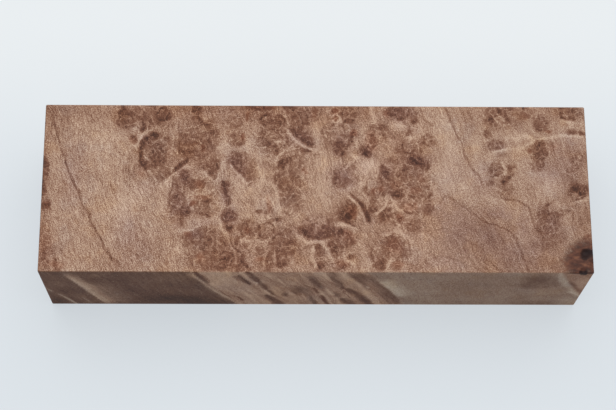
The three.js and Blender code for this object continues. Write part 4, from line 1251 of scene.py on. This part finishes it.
    def edge(self) -> Array:
        """How near each point is to an edge of the block: 1 on it and 0 from 0.7 mm away.

        Returns:
            One value for each point.
        """
        half = self.size / 2.0
        gaps = np.sort(half - np.abs(self.points - (0.0, 0.0, half[2])), axis=1)
        return ease(0.7, 0.1, gaps[:, 1])


class Wire:
    """One shader value or colour, on which Python's operators add Math nodes."""

    def __init__(self, graph: Graph, socket: bpy.types.NodeSocket) -> None:
        """Keeps the graph and the socket that gives the value."""
        self.graph = graph
        self.socket = socket

    def math(self, operation: str, *others: Wire | float) -> Wire:
        """This value and others through one Math node.

        Args:
            operation: the Math node's operation.
            others: the operands after this one.

        Returns:
            The result.
        """
        inputs = dict(enumerate((self, *others)))
        return self.graph.node("ShaderNodeMath", {"operation": operation}, inputs)

    def __add__(self, other: Wire | float) -> Wire:
        """Sum."""
        return self.math("ADD", other)

    def __radd__(self, other: float) -> Wire:
        """Sum with a number in front."""
        return self.math("ADD", other)

    def __sub__(self, other: Wire | float) -> Wire:
        """Difference."""
        return self.math("SUBTRACT", other)

    def __rsub__(self, other: float) -> Wire:
        """A number less this value."""
        return self.graph.number(other).math("SUBTRACT", self)

    def __mul__(self, other: Wire | float) -> Wire:
        """Product."""
        return self.math("MULTIPLY", other)

    def __abs__(self) -> Wire:
        """Size without sign."""
        return self.math("ABSOLUTE")

    def at_least(self, other: Wire | float) -> Wire:
        """The larger of two values."""
        return self.math("MAXIMUM", other)

    def step(self, low: float, high: float, start: float = 0.0, end: float = 1.0) -> Wire:
        """A smooth step from start, at low, to end, at high."""
        inputs = {"Value": self, "From Min": low, "From Max": high, "To Min": start, "To Max": end}
        return self.graph.node("ShaderNodeMapRange", {"interpolation_type": "SMOOTHSTEP"}, inputs)


Input = Wire | float | Sequence[float]
Inputs = Mapping[str | int, Input]
Settings = Mapping[str, object]


class Graph:
    """The node tree of one material."""

    def __init__(self, name: str) -> None:
        """Makes an empty material of that name."""
        self.material = bpy.data.materials.new(name)
        self.material.use_nodes = True
        self.tree = self.material.node_tree
        self.tree.nodes.clear()

    def raw(self, kind: str, settings: Settings, inputs: Inputs) -> bpy.types.Node:
        """Adds one node.

        Args:
            kind: the node's type.
            settings: properties that are set first. stops, for a colour ramp, is a list of place and colour.
            inputs: values or wires by the name or number of the socket.

        Returns:
            The node.
        """
        node = self.tree.nodes.new(kind)
        for name, value in settings.items():
            if name == "stops":
                self.set_stops(node, value)
            else:
                setattr(node, name, value)
        for name, value in inputs.items():
            if isinstance(value, Wire):
                self.tree.links.new(value.socket, node.inputs[name])
            else:
                node.inputs[name].default_value = value
        return node

    def node(self, kind: str, settings: Settings, inputs: Inputs, output: str | int = 0) -> Wire:
        """Adds one node and gives one of its outputs.

        Args:
            kind: the node's type.
            settings: properties that are set first.
            inputs: values or wires by the name or number of the socket.
            output: the name or number of the output.

        Returns:
            That output.
        """
        return Wire(self, self.raw(kind, settings, inputs).outputs[output])

    def set_stops(self, node: bpy.types.Node, stops: Sequence[tuple[float, Colour]]) -> None:
        """Puts a colour ramp's stops in place.

        Args:
            node: the colour ramp.
            stops: place and colour of each stop, in order.
        """
        elements = node.color_ramp.elements
        while len(elements) < len(stops):
            elements.new(1.0)
        for element, (place, colour) in zip(elements, stops):
            element.position = place
            element.color = (*colour, 1.0)

    def number(self, value: float) -> Wire:
        """A plain number, for the left side of a subtraction."""
        return self.node("ShaderNodeMath", {"operation": "ADD"}, {0: value, 1: 0.0})

    def attribute(self, name: str, output: str = "Fac") -> Wire:
        """One of the piece's own attributes."""
        return self.node("ShaderNodeAttribute", {"attribute_name": name}, {}, output)

    def scaled(self, vector: Wire, factors: Sequence[float]) -> Wire:
        """A vector with each part multiplied by its own factor."""
        return self.node("ShaderNodeVectorMath", {"operation": "MULTIPLY"}, {0: vector, 1: factors})

    def noise(self, vector: Wire, detail: float, roughness: float = 0.55) -> Wire:
        """Noise from 0 to 1 at a vector that is already scaled."""
        inputs = {"Vector": vector, "Scale": 1.0, "Detail": detail, "Roughness": roughness}
        return self.node("ShaderNodeTexNoise", {}, inputs)

    def mix(self, share: Wire | float, first: Input, second: Input) -> Wire:
        """Two colours mixed by a share of the second."""
        inputs = {0: share, 6: first, 7: second}
        return self.node("ShaderNodeMix", {"data_type": "RGBA", "clamp_factor": True}, inputs, 2)

    def tinted(self, share: Wire, colour: Wire, tint: Colour) -> Wire:
        """A colour multiplied by a tint, as far as a share."""
        settings = {"data_type": "RGBA", "blend_type": "MULTIPLY", "clamp_factor": True}
        return self.node("ShaderNodeMix", settings, {0: share, 6: colour, 7: (*tint, 1.0)}, 2)

    def finished(self, inputs: Inputs) -> bpy.types.Material:
        """Closes the graph with one shader.

        Args:
            inputs: what the shader is given.

        Returns:
            The material.
        """
        shader = self.raw("ShaderNodeBsdfPrincipled", {}, inputs)
        output = self.raw("ShaderNodeOutputMaterial", {}, {})
        self.tree.links.new(shader.outputs[0], output.inputs["Surface"])
        return self.material


@dataclass(frozen=True)
class BurlFinish:
    """Sanded, resin-filled burl: tan wood, brown eyes, light veins, fibres, pores and a bark pocket."""

    # The wood's colours from light veins to the darkest eyes, by the depth of tone.
    tones: tuple[tuple[float, Colour], ...] = (
        (-0.60, linear(206, 178, 155)),
        (-0.20, linear(180, 150, 128)),
        (0.00, linear(163, 130, 110)),
        (0.30, linear(142, 107, 87)),
        (0.60, linear(118, 80, 63)),
        (0.90, linear(94, 61, 47)),
        (1.20, linear(66, 44, 37)),
    )
    bark_tones: tuple[tuple[float, Colour], ...] = (
        (0.30, linear(60, 42, 38)),
        (0.45, linear(80, 52, 44)),
        (0.58, linear(100, 66, 53)),
        (0.78, linear(130, 88, 66)),
    )
    char_colour: Colour = linear(34, 28, 29)
    red_tint: Colour = (1.10, 0.88, 0.78)
    mauve_tint: Colour = (0.96, 0.985, 1.11)
    grey_tint: Colour = (0.955, 1.095, 1.19)
    cool_tint: Colour = (0.97, 1.0, 1.05)
    warm_tint: Colour = (1.02, 0.985, 0.92)
    sawn_tint: Colour = (0.99, 0.96, 0.94)
    worn_colour: Colour = linear(205, 172, 146)
    specular: float = 0.05
    # Scales of the noises for each millimetre: fibres and ripples across, along and down the grain, and the
    # others along X, Y and Z.
    fibre_scale: Scale = (5.6, 0.46, 0.22)
    ripple_scale: Scale = (1.5, 0.09, 0.05)
    speck_scale: Scale = (5.3, 5.3, 4.9)
    mottle_scale: Scale = (1.05, 1.05, 0.7)
    drift_scale: Scale = (0.16, 0.16, 0.10)
    flake_scale: Scale = (0.42, 0.80, 0.75)
    # How far each of these shifts the tone.
    fray_depth: float = 0.50
    mottle_depth: float = 0.16
    mauve_depth: float = 0.07
    ring_depth: float = 0.11
    lace_depth: float = 0.48
    line_depth: float = 0.75
    vein_depth: float = 0.72
    pore_depth: float = 0.75
    fibre_depth: float = 1.45
    speck_depth: float = 2.6
    # The tone that dark lines draw the wood towards, and the light one that veins do.
    line_tone: float = 0.95
    vein_tone: float = -0.30
    # Shares of the full tints and colours that show.
    red_share: float = 0.9
    worn_share: float = 0.08
    char_share: float = 0.85
    # Roughness of the plain wood, and the bump's strength and its height in metres.
    roughness: float = 0.55
    bump_strength: float = 0.22
    bump_height: float = 0.00012

    def material(self) -> bpy.types.Material:
        """Builds the finish.

        Returns:
            The material.
        """
        graph = Graph("stabilized_burl")
        place = graph.scaled(graph.node("ShaderNodeTexCoord", {}, {}, "Object"), (1.0 / MM,) * 3)
        grain = graph.attribute("grain", "Vector")
        fibre = graph.noise(graph.scaled(grain, self.fibre_scale), 1.0, 0.5)
        ripple = graph.noise(graph.scaled(grain, self.ripple_scale), 2.0)
        speck = graph.noise(graph.scaled(place, self.speck_scale), 0.0, 0.5)
        mottle = graph.noise(graph.scaled(place, self.mottle_scale), 3.0)
        flakes = graph.noise(graph.scaled(place, self.flake_scale), 3.0, 0.6)

        tone = self.marked(graph, place, mottle)
        calm = 1.0 - graph.attribute("brown").step(0.1, 0.7) * 0.45
        tone = tone + (fibre - 0.5) * calm * graph.attribute("streak") * self.fibre_depth
        tone = tone + (ripple - 0.5) * graph.attribute("ripple")
        tone = tone + (speck - 0.5) * calm * graph.attribute("speckle") * self.speck_depth

        bark = (graph.attribute("bark") + (mottle - 0.5) * 0.6 + (flakes - 0.5) * 0.9).step(0.0, 0.95)
        charred = (graph.attribute("char") + (mottle - 0.5) * 0.6).step(0.15, 0.85)
        colour = self.coloured(graph, place, tone, mottle)
        colour = graph.mix(bark, colour, self.ramp(graph, flakes, self.bark_tones))
        colour = graph.mix(charred * self.char_share, colour, (*self.char_colour, 1.0))

        rough = self.roughness - tone.step(0.2, 1.0) * 0.06 + (fibre - 0.5) * 0.18
        rough = rough + graph.attribute("sawn") * 0.10
        height = fibre * 0.5 + speck * 0.35 - tone * 0.15 + flakes * bark * 1.5
        relief = {"Strength": self.bump_strength, "Distance": self.bump_height, "Height": height}
        return graph.finished({
            "Base Color": colour,
            "Roughness": rough - bark * 0.15,
            "Normal": graph.node("ShaderNodeBump", {}, relief),
            "Specular IOR Level": self.specular,
        })

    def marked(self, graph: Graph, place: Wire, mottle: Wire) -> Wire:
        """The depth of tone of the figure's marks, with its rings, lace, lines, veins and pores.

        Args:
            graph: the material's graph.
            place: object coordinates in millimetres.
            mottle: the noise that frays the marks.

        Returns:
            The tone, which is 0 in plain wood and about 1 in the darkest eyes.
        """
        brown = graph.attribute("brown")
        frayed = brown + (mottle - 0.5) * brown.step(0.1, 0.5) * brown.step(1.1, 0.6) * self.fray_depth
        tone = frayed + graph.attribute("broad") + (mottle - 0.5) * self.mottle_depth
        tone = tone + graph.attribute("mauve") * self.mauve_depth
        tone = tone + self.rings(graph, mottle) * graph.attribute("ringed") * self.ring_depth
        tone = tone - self.lace(graph, place, mottle) * graph.attribute("lace") * self.lace_depth
        tone = tone - graph.attribute("pale") * (0.34 + tone.at_least(0.0) * 0.75)
        line = self.drawn(graph, "line", mottle)
        tone = tone + line * (self.line_tone - tone).at_least(0.0) * self.line_depth
        vein = self.drawn(graph, "vein", mottle)
        tone = tone - vein * (tone - self.vein_tone).at_least(0.0) * self.vein_depth
        pores = self.specks(graph, place) * brown.step(0.35, 0.75) * mottle.step(0.42, 0.56)
        return tone - pores * self.pore_depth

    def coloured(self, graph: Graph, place: Wire, tone: Wire, mottle: Wire) -> Wire:
        """The wood's colour by its tone, with its tints and its worn edges.

        Args:
            graph: the material's graph.
            place: object coordinates in millimetres.
            tone: the depth of tone.
            mottle: the noise that breaks up the wear.

        Returns:
            The colour.
        """
        colour = self.ramp(graph, tone, self.tones)
        drift = graph.noise(graph.scaled(place, self.drift_scale), 3.0, 0.6)
        for share, tint in (
            (drift.step(0.52, 0.68), self.cool_tint),
            (drift.step(0.48, 0.32), self.warm_tint),
            (graph.attribute("mauve"), self.mauve_tint),
            (graph.attribute("red") * self.red_share, self.red_tint),
            (graph.attribute("sawn"), self.sawn_tint),
            (graph.attribute("grey"), self.grey_tint),
        ):
            colour = graph.tinted(share, colour, tint)
        edge = graph.attribute("edge") * mottle.step(0.35, 0.65)
        return graph.mix(edge * self.worn_share, colour, (*self.worn_colour, 1.0))

    def ramp(self, graph: Graph, value: Wire, stops: Sequence[tuple[float, Colour]]) -> Wire:
        """Colours by value, with the stops given at values of any range.

        Args:
            graph: the material's graph.
            value: what to colour.
            stops: values and colours, in order.

        Returns:
            The colour.
        """
        low, high = stops[0][0], stops[-1][0]
        shares = [((place - low) / (high - low), colour) for place, colour in stops]
        share = (value - low) * (1.0 / (high - low))
        return graph.node("ShaderNodeValToRGB", {"stops": shares}, {"Fac": share})

    def rings(self, graph: Graph, mottle: Wire) -> Wire:
        """Growth rings of the ringed burls: a sine of the distance from a burl's middle, bent by noise.

        Args:
            graph: the material's graph.
            mottle: the noise.

        Returns:
            A wave from -1 to 1.
        """
        return (graph.attribute("eddy") * 5.6 + mottle * 9.0).math("SINE")

    def lace(self, graph: Graph, place: Wire, mottle: Wire) -> Wire:
        """The light lace among the eyes: curled contour lines of a noise that leans with the columns.

        Args:
            graph: the material's graph.
            place: object coordinates in millimetres.
            mottle: the noise that frays and parts the lines.

        Returns:
            A share from 0 to 1, which is 1 on the lines.
        """
        parts = graph.raw("ShaderNodeSeparateXYZ", {}, {0: place}).outputs
        x, y, z = (Wire(graph, part) for part in parts)
        slid = {0: x * 0.34 + z * 0.122, 1: y * 0.34, 2: z * 0.04}
        curls = graph.noise(graph.node("ShaderNodeCombineXYZ", {}, slid), 1.3, 0.55)
        waves = (curls * 13.0 + mottle * 6.0).math("SINE")
        return abs(waves).step(0.66, 0.04) * mottle.step(0.30, 0.50)

    def specks(self, graph: Graph, place: Wire) -> Wire:
        """Tiny light pores in the dark wood: the middles of small scattered cells.

        Args:
            graph: the material's graph.
            place: object coordinates in millimetres.

        Returns:
            A share from 0 to 1, which is 1 on the pores.
        """
        cells = graph.node("ShaderNodeTexVoronoi", {}, {"Vector": place, "Scale": 1.3}, "Distance")
        return cells.step(0.26, 0.08)

    def drawn(self, graph: Graph, name: str, mottle: Wire) -> Wire:
        """A thin line from its offset and strength, with its offset frayed by noise.

        Args:
            graph: the material's graph.
            name: which attributes to read.
            mottle: the noise.

        Returns:
            The line's share from 0 to 1.
        """
        offset = abs(graph.attribute(f"{name}_offset") + (mottle - 0.5) * 1.6)
        return offset.step(1.7, 0.3) * graph.attribute(f"{name}_strength")


@dataclass
class BurlBlank:
    """The block itself: its size from the frame, its sanded edges, its bark pits and its grid."""

    low: Vector
    high: Vector
    edge_round: float = 0.35
    # Grid spacing along the length and width, and down the height.
    face_pitch: float = 0.425
    height_pitch: float = 0.75
    # Gap between the sides on the sheet of texture places.
    chart_gap: float = 1.5
    # Where rows stand in the rounded edge, as shares of its radius in from the edge, and just beyond it.
    round_rows: tuple[float, ...] = (0.0, 0.586, 1.0, 1.2)
    # Bark pits: distance in from the right end and the front, sizes along X and Y, and depth.
    pits: tuple[tuple[float, ...], ...] = (
        (1.9, 4.9, 2.6, 2.0, 0.55),
        (2.6, 0.5, 1.6, 1.5, 0.60),
        (0.25, 1.9, 1.0, 2.6, 0.50),
    )
    finish: BurlFinish = field(default_factory=BurlFinish)

    @property
    def size(self) -> Array:
        """Length, width and height in millimetres."""
        return np.array(self.high - self.low) / MM

    def rows(self, span: float, pitch: float) -> Array:
        """Grid lines over one side: close rows in both rounded edges, and even ones between.

        Args:
            span: the side's length.
            pitch: the spacing to stay near.

        Returns:
            Places from minus half the span to plus half the span.
        """
        ends = np.array(self.round_rows) * self.edge_round
        inner = span - 2.0 * ends[-1]
        even = np.linspace(ends[-1], span - ends[-1], round(inner / pitch) + 1)
        return np.concatenate((ends[:-1], even, span - ends[-2::-1])) - span / 2.0

    def lattice(self) -> tuple[Array, list[Array], Array]:
        """The closed grid over all six sides of the sharp box.

        Lattice points on the surface are numbered once, so that the sides share their border vertices.

        Returns:
            The points in millimetres from the block's middle, each side's quads, and the grid steps' counts.
        """
        size = self.size
        pitches = (self.face_pitch, self.face_pitch, self.height_pitch)
        axes = [self.rows(span, pitch) for span, pitch in zip(size, pitches)]
        counts = np.array([len(axis) for axis in axes])
        inner = np.zeros(counts, bool)
        inner[1:-1, 1:-1, 1:-1] = True
        number = np.full(counts, -1)
        number[~inner] = np.arange(np.count_nonzero(~inner))
        where = np.argwhere(~inner)
        points = np.stack([axis[index] for axis, index in zip(axes, where.T)], axis=1)
        sides = []
        for axis, last in itertools.product(range(3), (False, True)):
            sheet = np.take(number, -1 if last else 0, axis=axis)
            quads = np.stack((sheet[:-1, :-1], sheet[1:, :-1], sheet[1:, 1:], sheet[:-1, 1:]), axis=-1)
            quads = quads.reshape(-1, 4)
            sides.append(quads if last == (axis != 1) else quads[:, ::-1])
        return points, sides, counts

    def rounded(self, flat: Array) -> tuple[Array, Array]:
        """Moves points of the sharp box on to the rounded one.

        Each point is drawn to the nearest point of a box smaller by the radius, and put back one radius
        from it in the direction it came from.

        Args:
            flat: points of the sharp box, from its middle.

        Returns:
            Points of the rounded box from the middle of its bottom, and their outward directions.
        """
        half = self.size / 2.0
        core = np.clip(flat, self.edge_round - half, half - self.edge_round)
        outward = flat - core
        outward /= np.linalg.norm(outward, axis=1, keepdims=True)
        return core + self.edge_round * outward + (0.0, 0.0, half[2]), outward

    def pitted(self, points: Array) -> Array:
        """Sinks the bark pits: a point within a pit's outline goes down to half of a squashed ball.

        Args:
            points: points of the rounded block.

        Returns:
            The points with the pits.
        """
        length, width, height = self.size
        sunk = points.copy()
        for from_end, from_front, size_x, size_y, depth in self.pits:
            x = (points[:, 0] - length / 2.0 + from_end) / (size_x / 2.0)
            y = (points[:, 1] + width / 2.0 - from_front) / (size_y / 2.0)
            floor = height - depth * np.sqrt(np.clip(1.0 - x**2 - y**2, 0.0, 1.0))
            sunk[:, 2] = np.where(x**2 + y**2 < 1.0, np.minimum(sunk[:, 2], floor), sunk[:, 2])
        return sunk

    def atlas(self, flat: Array, sides: Sequence[Array]) -> Array:
        """Places on one square sheet for every corner of every quad, side by side at one scale.

        Args:
            flat: points of the sharp box, from its middle.
            sides: each side's quads.

        Returns:
            Two coordinates from 0 to 1 for each corner.
        """
        length, width, height = self.size
        gap = self.chart_gap
        stacked = np.cumsum((gap, width + gap, width + gap, height + gap))
        corners = ((length + 2 * gap, gap), (length + 2 * gap, width + 2 * gap), (gap, stacked[2]),
                   (gap, stacked[3]), (gap, stacked[0]), (gap, stacked[1]))
        planes = ((2, 1), (2, 1), (0, 2), (0, 2), (0, 1), (0, 1))
        sheet = length + height + 3 * gap
        placed = [
            flat[quads][..., list(plane)] + self.size[list(plane)] / 2.0 + corner
            for quads, plane, corner in zip(sides, planes, corners)
        ]
        return np.concatenate(placed).reshape(-1, 2) / sheet

    def build(self) -> bpy.types.Object:
        """Makes the block's mesh with its figure.

        Returns:
            The block's object.
        """
        flat, sides, counts = self.lattice()
        points, outward = self.rounded(flat)
        points = self.pitted(points)
        quads = np.concatenate(sides)
        mesh = bpy.data.meshes.new(PIECE_NAME)
        mesh.vertices.add(len(points))
        mesh.vertices.foreach_set("co", (points * MM).astype(np.float32).ravel())
        mesh.loops.add(quads.size)
        mesh.loops.foreach_set("vertex_index", quads.astype(np.int32).ravel())
        mesh.polygons.add(len(quads))
        mesh.polygons.foreach_set("loop_start", np.arange(0, quads.size, 4, dtype=np.int32))
        mesh.polygons.foreach_set("use_smooth", np.ones(len(quads), bool))
        mesh.update(calc_edges=True)
        mesh.validate()
        chart = mesh.uv_layers.new(name="OFBake")
        chart.data.foreach_set("uv", self.atlas(flat, sides).astype(np.float32).ravel())
        figure = BurlFigure(self.size, points, outward)
        for name, values in figure.fields().items():
            self.put_attribute(mesh, name, values)
        piece = bpy.data.objects.new(PIECE_NAME, mesh)
        bpy.context.scene.collection.objects.link(piece)
        LOG.info("%s: grid %s, %d quads", piece.name, counts.tolist(), len(quads))
        return piece

    def put_attribute(self, mesh: bpy.types.Mesh, name: str, values: Array) -> None:
        """Stores one attribute on the mesh's vertices.

        Args:
            mesh: the mesh to store it on.
            name: the attribute's name.
            values: one number or three for each vertex.
        """
        kind, key = ("FLOAT", "value") if values.ndim == 1 else ("FLOAT_VECTOR", "vector")
        attribute = mesh.attributes.new(name, kind, "POINT")
        attribute.data.foreach_set(key, values.astype(np.float32).ravel())

    def dress(self, piece: bpy.types.Object) -> None:
        """Gives the block its finish and ties it to the frame.

        Args:
            piece: the block's object.
        """
        piece.data.materials.append(self.finish.material())
        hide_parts(NODE_NAME)
        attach(piece, BODY_NAME)


@dataclass
class Studio:
    """The pale floor, the soft light tent and the camera."""

    floor_half: float = 3.0
    floor_drop: float = 0.00005
    # The floor stands for a lit table; its glow is painted light, stronger than what it reflects, which keeps
    # shadows on it faint, and a little stronger towards the back.
    floor_colour: Colour = (0.20, 0.21, 0.215)
    floor_shade: float = 0.97
    floor_scale: Scale = (6.0, 6.0, 6.0)
    floor_roughness: float = 0.8
    floor_specular: float = 0.1
    glow_near: Colour = (0.515, 0.552, 0.585)
    glow_far: Colour = (0.60, 0.625, 0.64)
    glow_span: tuple[float, float] = (0.0, 0.06)
    sky_colour: Colour = (0.93, 0.97, 1.0)
    sky_strength: float = 0.30
    # The softbox above the block, a little behind it.
    box_size: float = 1.6
    box_place: tuple[float, float, float] = (0.0, 0.35, 1.2)
    box_power: float = 20.0
    # Viewing angle: azimuth from straight in front, elevation, and roll about the viewing line, in degrees.
    azimuth: float = -3.59
    elevation: float = 71.04
    roll: float = -3.60
    # Focal length in pixels of the image, the point on the top face that the camera looks at, and its range.
    focal_pixels: float = 1663.0
    aim: tuple[float, float, float] = (-0.001999, -0.004368, 0.028)
    aim_range: float = 0.39320
    sensor_width: float = 36.0
    nearest: float = 0.01

    def build_floor(self) -> bpy.types.Object:
        """A wide flat floor with a faintly uneven matt finish and a painted glow that is a little brighter
        towards the back.

        Returns:
            The floor's object.
        """
        half = self.floor_half
        corners = [(-half, -half), (half, -half), (half, half), (-half, half)]
        mesh = bpy.data.meshes.new("floor")
        mesh.from_pydata([(x, y, -self.floor_drop) for x, y in corners], [], [(0, 1, 2, 3)])
        floor = bpy.data.objects.new("floor", mesh)
        graph = Graph("pale_floor")
        place = graph.node("ShaderNodeTexCoord", {}, {}, "Object")
        cloud = graph.noise(graph.scaled(place, self.floor_scale), 2.0)
        darker = tuple(self.floor_shade * x for x in self.floor_colour)
        colour = graph.mix(cloud, (*darker, 1.0), (*self.floor_colour, 1.0))
        # Painted light: the floor's emission, stronger towards the back, which softens the shadows on it.
        depth = Wire(graph, graph.raw("ShaderNodeSeparateXYZ", {}, {0: place}).outputs[1])
        glow = graph.mix(depth.step(*self.glow_span), (*self.glow_near, 1.0), (*self.glow_far, 1.0))
        mesh.materials.append(graph.finished({
            "Base Color": colour,
            "Roughness": self.floor_roughness,
            "Specular IOR Level": self.floor_specular,
            "Emission Color": glow,
            "Emission Strength": 1.0,
        }))
        bpy.context.scene.collection.objects.link(floor)
        return floor

    def build_light(self) -> None:
        """An even sky and one large softbox, seen in plain screen colours."""
        scene = bpy.context.scene
        world = bpy.data.worlds.new("light_tent")
        world.use_nodes = True
        sky = world.node_tree.nodes["Background"]
        sky.inputs["Color"].default_value = (*self.sky_colour, 1.0)
        sky.inputs["Strength"].default_value = self.sky_strength
        scene.world = world
        lamp = bpy.data.lights.new("softbox", "AREA")
        lamp.size = self.box_size
        lamp.energy = self.box_power
        box = bpy.data.objects.new("softbox", lamp)
        box.location = self.box_place
        box.rotation_euler = (-Vector(self.box_place)).to_track_quat("-Z", "Y").to_euler()
        scene.collection.objects.link(box)
        scene.view_settings.view_transform = "Standard"

    def build_camera(self) -> bpy.types.Object:
        """The camera at the fitted angle, which looks at its aim point from its range.

        Returns:
            The camera's object.
        """
        azimuth, elevation = math.radians(self.azimuth), math.radians(self.elevation)
        back = Vector((
            math.sin(azimuth) * math.cos(elevation),
            -math.cos(azimuth) * math.cos(elevation),
            math.sin(elevation),
        ))
        right = Vector((0.0, 0.0, 1.0)).cross(back).normalized()
        upright = Matrix((right, back.cross(right), back)).transposed().to_4x4()
        data = bpy.data.cameras.new("camera")
        data.sensor_width = self.sensor_width
        data.lens = self.focal_pixels / IMAGE_WIDTH * self.sensor_width
        data.clip_start = self.nearest
        camera = bpy.data.objects.new("camera", data)
        turned = upright @ Matrix.Rotation(math.radians(-self.roll), 4, "Z")
        camera.matrix_world = Matrix.Translation(Vector(self.aim) + self.aim_range * back) @ turned
        bpy.context.scene.collection.objects.link(camera)
        bpy.context.scene.camera = camera
        return camera


def main() -> None:
    """Builds the studio and the dressed block round the frame."""
    logging.basicConfig(level=logging.INFO, format="%(name)s %(message)s")
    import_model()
    studio = Studio()
    studio.build_floor()
    studio.build_light()
    camera = studio.build_camera()
    LOG.info("camera: lens %.2f mm", camera.data.lens)
    blank = BurlBlank(*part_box(NODE_NAME))
    piece = blank.build()
    blank.dress(piece)
    LOG.info("%s: dressed, %d attributes", piece.name, len(piece.data.attributes))


if __name__ == "__main__":
    main()
